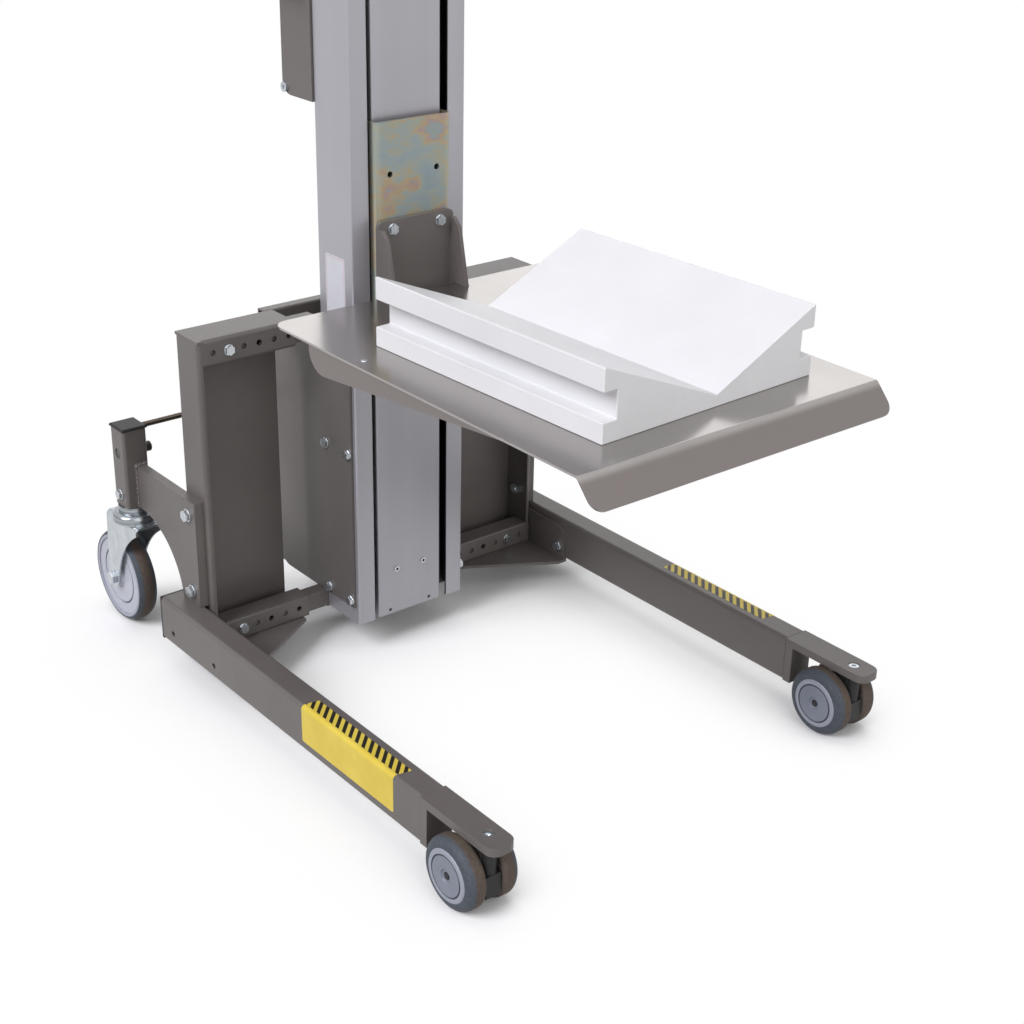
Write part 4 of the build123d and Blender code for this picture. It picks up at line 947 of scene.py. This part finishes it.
def addLegMarking(side):
    face, _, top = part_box("leg_tube_right")[1]
    bottom = legMarking["bottom"]
    y0 = mastFaceY + legMarking["front"]
    y1 = mastFaceY + legMarking["back"]
    # A flat panel on the outer face, carried over the top and then rounded at the fold
    piece = begin(bpy.ops.mesh.primitive_plane_add, size=1)
    settle(piece, Matrix.Translation((face, (y0 + y1) / 2, (bottom + top) / 2))
           @ Matrix.Rotation(math.pi / 2, 4, "Y")
           @ Matrix.Diagonal((top - bottom, y1 - y0, 1, 1)))
    pick(piece, "VERT", lambda c: c.z < bottom + touch)
    bpy.ops.mesh.bevel(offset=legMarking["round"], segments=4, affect="VERTICES")
    endEdit()
    pick(piece, "EDGE", lambda c: c.z > top - touch)
    bpy.ops.mesh.extrude_region_move(TRANSFORM_OT_translate={
        "value": (-legMarking["flap"], legMarking["slant"], 0)})
    endEdit()
    pick(piece, "EDGE", lambda c: c.z > top - touch and c.x > face - touch)
    bpy.ops.mesh.bevel(offset=legMarking["corner"], segments=8, affect="EDGES")
    endEdit()
    pick(piece, "VERT", lambda c: c.x < face - legMarking["flap"] + touch)
    bpy.ops.mesh.bevel(offset=legMarking["flapRound"], segments=3, affect="VERTICES")
    bpy.ops.mesh.select_all(action="SELECT")
    bpy.ops.mesh.normals_make_consistent(inside=False)
    endEdit()
    # An open panel has no inside, so its faces are turned away from the leg here
    outward = sum((f.normal.x + f.normal.z) * f.area for f in piece.data.polygons)
    if outward < 0:
        piece.data.flip_normals()
    bake(piece, "SOLIDIFY", thickness=legMarking["thick"], offset=1.0)
    if side == "left":
        # The left sticker is the right one turned half round
        settle(piece, Matrix.Translation((0, y0 + y1, 0)) @ Matrix.Rotation(math.pi, 4, "Z"))
    hand(piece, "leg_marking_" + side, "lift_frame", "striped_vinyl", 40)


addLegMarking("right")
addLegMarking("left")
print("leg markings laid")


# Blank data plate on the mast's left side

def addDataPlate():
    low, high = plateSpan()
    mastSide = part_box("mast_profile")[0][0]
    piece = begin(bpy.ops.mesh.primitive_plane_add, size=1)
    settle(piece, Matrix.Translation((mastSide, (low[0] + high[0]) / 2, (low[1] + high[1]) / 2))
           @ Matrix.Rotation(-math.pi / 2, 4, "Y")
           @ Matrix.Diagonal((dataPlate["height"], dataPlate["width"], 1, 1)))
    pick(piece, "VERT", lambda c: True)
    bpy.ops.mesh.bevel(offset=dataPlate["corner"], segments=4, affect="VERTICES")
    endEdit()
    bake(piece, "SOLIDIFY", thickness=dataPlate["thick"], offset=1.0)
    hand(piece, "mast_blank_plate", "lift_frame", "bare_label")


addDataPlate()
print("data plate laid")


# Weld beads: overlapping scallops along a line, fused into one skin

weld = {
    "fillet": 3.2 * mm,       # radius of the bead up the side of the tube
    "crown": 4.6 * mm,        # radius of the bead over the arm's top edge
    "pitch": 3.0 * mm,
    "flat": 0.72,             # a scallop's length along the bead, to its width
    "wander": 0.14,           # how far a scallop strays, to its radius
    "wanderStep": 2.3,
    "voxel": 0.8 * mm,
    "tubeWidth": 40.0 * mm,
    "armThickness": 15.0 * mm,
    "low": 217.0 * mm,
    "high": 283.5 * mm,
}


def scallopsAlong(start, end, size):
    start = Vector(start)
    end = Vector(end)
    count = max(2, round((end - start).length / weld["pitch"]))
    scallop = begin(bpy.ops.mesh.primitive_uv_sphere_add, segments=12, ring_count=8, radius=size)
    settle(scallop, Matrix.Diagonal((1.0, 1.0, weld["flat"], 1.0)))
    parts = []
    for index in range(count + 1):
        wander = weld["wander"] * math.sin(index * weld["wanderStep"]) * size
        place = start.lerp(end, index / count) + Vector((wander, 0, wander))
        parts.append(copyOf(scallop, outwards(place, end - start)))
    only(scallop)
    bpy.ops.object.delete()
    return parts


def addArmWelds(side, sign):
    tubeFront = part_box("caster_arm_" + side)[1][1] - weld["tubeWidth"]
    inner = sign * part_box("side_frame_right")[1][0]
    outer = inner + sign * weld["armThickness"]
    low, high = weld["low"], weld["high"]
    parts = []
    for x in (inner, outer):
        parts += scallopsAlong((x, tubeFront, low), (x, tubeFront, high), weld["fillet"])
    parts += scallopsAlong((inner, tubeFront, high), (outer, tubeFront, high), weld["crown"])
    piece = joined(parts, "bead")
    bake(piece, "REMESH", mode="VOXEL", voxel_size=weld["voxel"])
    bake(piece, "SMOOTH", factor=0.5, iterations=2)
    hand(piece, "arm_weld_" + side, "lift_frame", "frame_paint", 60)


addArmWelds("right", 1)
addArmWelds("left", -1)
print("welds laid")


# Arrow marks on the lift's up and down buttons

arrow = {"radius": 5.0 * mm, "round": 0.8 * mm, "thick": 0.4 * mm}


def addArrow(button, turn):
    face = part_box(button)[1][1]
    piece = begin(bpy.ops.mesh.primitive_circle_add, vertices=3, radius=arrow["radius"],
                  fill_type="NGON")
    settle(piece, Matrix.Translation((mid(button, 0), face, mid(button, 2)))
           @ Matrix.Rotation(turn, 4, "Y") @ Matrix.Rotation(-math.pi / 2, 4, "X"))
    if piece.data.polygons[0].normal.y < 0:
        piece.data.flip_normals()
    pick(piece, "VERT", lambda c: True)
    bpy.ops.mesh.bevel(offset=arrow["round"], segments=3, affect="VERTICES")
    endEdit()
    bake(piece, "SOLIDIFY", thickness=arrow["thick"], offset=1.0)
    hand(piece, button + "_arrow", button, "white_mark")


addArrow("up_button", math.pi)
addArrow("down_button", 0.0)
print("arrows laid")


# Floor, backdrop and lights

studio = {
    "floorSize": 40.0,
    "floorWhite": 0.97,       # the floor's colour where it is seen
    "floorGrey": "#c4c2bf",   # and for the light that it sends back to the object
    "shadowReach": 0.32,      # how far from the object its contact shadow is kept
    "shadowFrom": 0.48,       # how open the floor is where the shadow begins to fade,
    "shadowTo": 0.92,         # and where none of it is left
    "shadowSamples": 12,
    "ambient": 0.22,
}


def seenDirectly(start):
    # 1 for the camera, and for reflections and glass that show the background
    rays = start.node("LightPath").socket.node.outputs
    camera, glossy, through = (Wire(start.tree, rays["Is " + kind + " Ray"])
                               for kind in ("Camera", "Glossy", "Transmission"))
    return (camera + glossy + through).sum("MINIMUM", 1.0)


def emptyTree(owner):
    owner.use_nodes = True
    owner.node_tree.nodes.clear()
    return Wire(owner.node_tree)


def addFloor():
    floor = begin(bpy.ops.mesh.primitive_plane_add, size=studio["floorSize"])
    floor.name = "floor"
    floor.data.name = "floor"
    material = bpy.data.materials.new("floorWhite")
    start = emptyTree(material)
    direct = seenDirectly(start)
    white = (studio["floorWhite"],) * 3 + (1.0,)
    plain = start.node("BsdfDiffuse", values={
        "Color": direct.blend(studio["floorGrey"], white)})
    clear = start.node("Emission", values={"Color": (1, 1, 1, 1), "Strength": 1.0})
    # Open floor shows as plain white, and the floor close to the object keeps its shadow
    openness = start.node("AmbientOcclusion", {"samples": studio["shadowSamples"]},
                          {"Distance": studio["shadowReach"]}, "AO")
    isOpen = openness.fade(studio["shadowFrom"], studio["shadowTo"])
    mixed = start.node("MixShader", values={0: direct * isOpen, 1: plain, 2: clear})
    start.node("OutputMaterial", values={"Surface": mixed})
    floor.data.materials.append(material)


def setWorld():
    world = bpy.context.scene.world or bpy.data.worlds.new("studio")
    bpy.context.scene.world = world
    start = emptyTree(world)
    ambient = start.node("Background", values={"Color": (1, 1, 1, 1),
                                               "Strength": studio["ambient"]})
    white = start.node("Background", values={"Color": (1, 1, 1, 1), "Strength": 1.0})
    mixed = start.node("MixShader", values={0: seenDirectly(start), 1: ambient, 2: white})
    start.node("OutputWorld", values={"Surface": mixed})


lamps = {
    "leftLight": {"from": (-0.74, -0.03, 0.67), "level": 0.82, "spread": 34,
                  "tint": (0.98, 0.98, 1.03)},
    "backWall": {"from": (0.713, 0.665, 0.225), "level": 0.13, "spread": 50, "tint": (1, 1, 1)},
    "frontLight": {"from": (0.0, -0.85, 0.52), "level": 0.38, "spread": 60, "tint": (1, 1, 1)},
}


def addLamps():
    # Wide, even lights far away: a level of 1 shows a colour as it is written
    for name, lamp in lamps.items():
        bpy.ops.object.light_add(type="SUN")
        light = bpy.context.active_object
        light.name = name
        light.data.angle = math.radians(lamp["spread"])
        light.data.energy = lamp["level"] * math.pi
        light.data.color = lamp["tint"]
        light.rotation_euler = Vector(lamp["from"]).to_track_quat("Z", "Y").to_euler()


addFloor()
setWorld()
addLamps()
print("studio set")
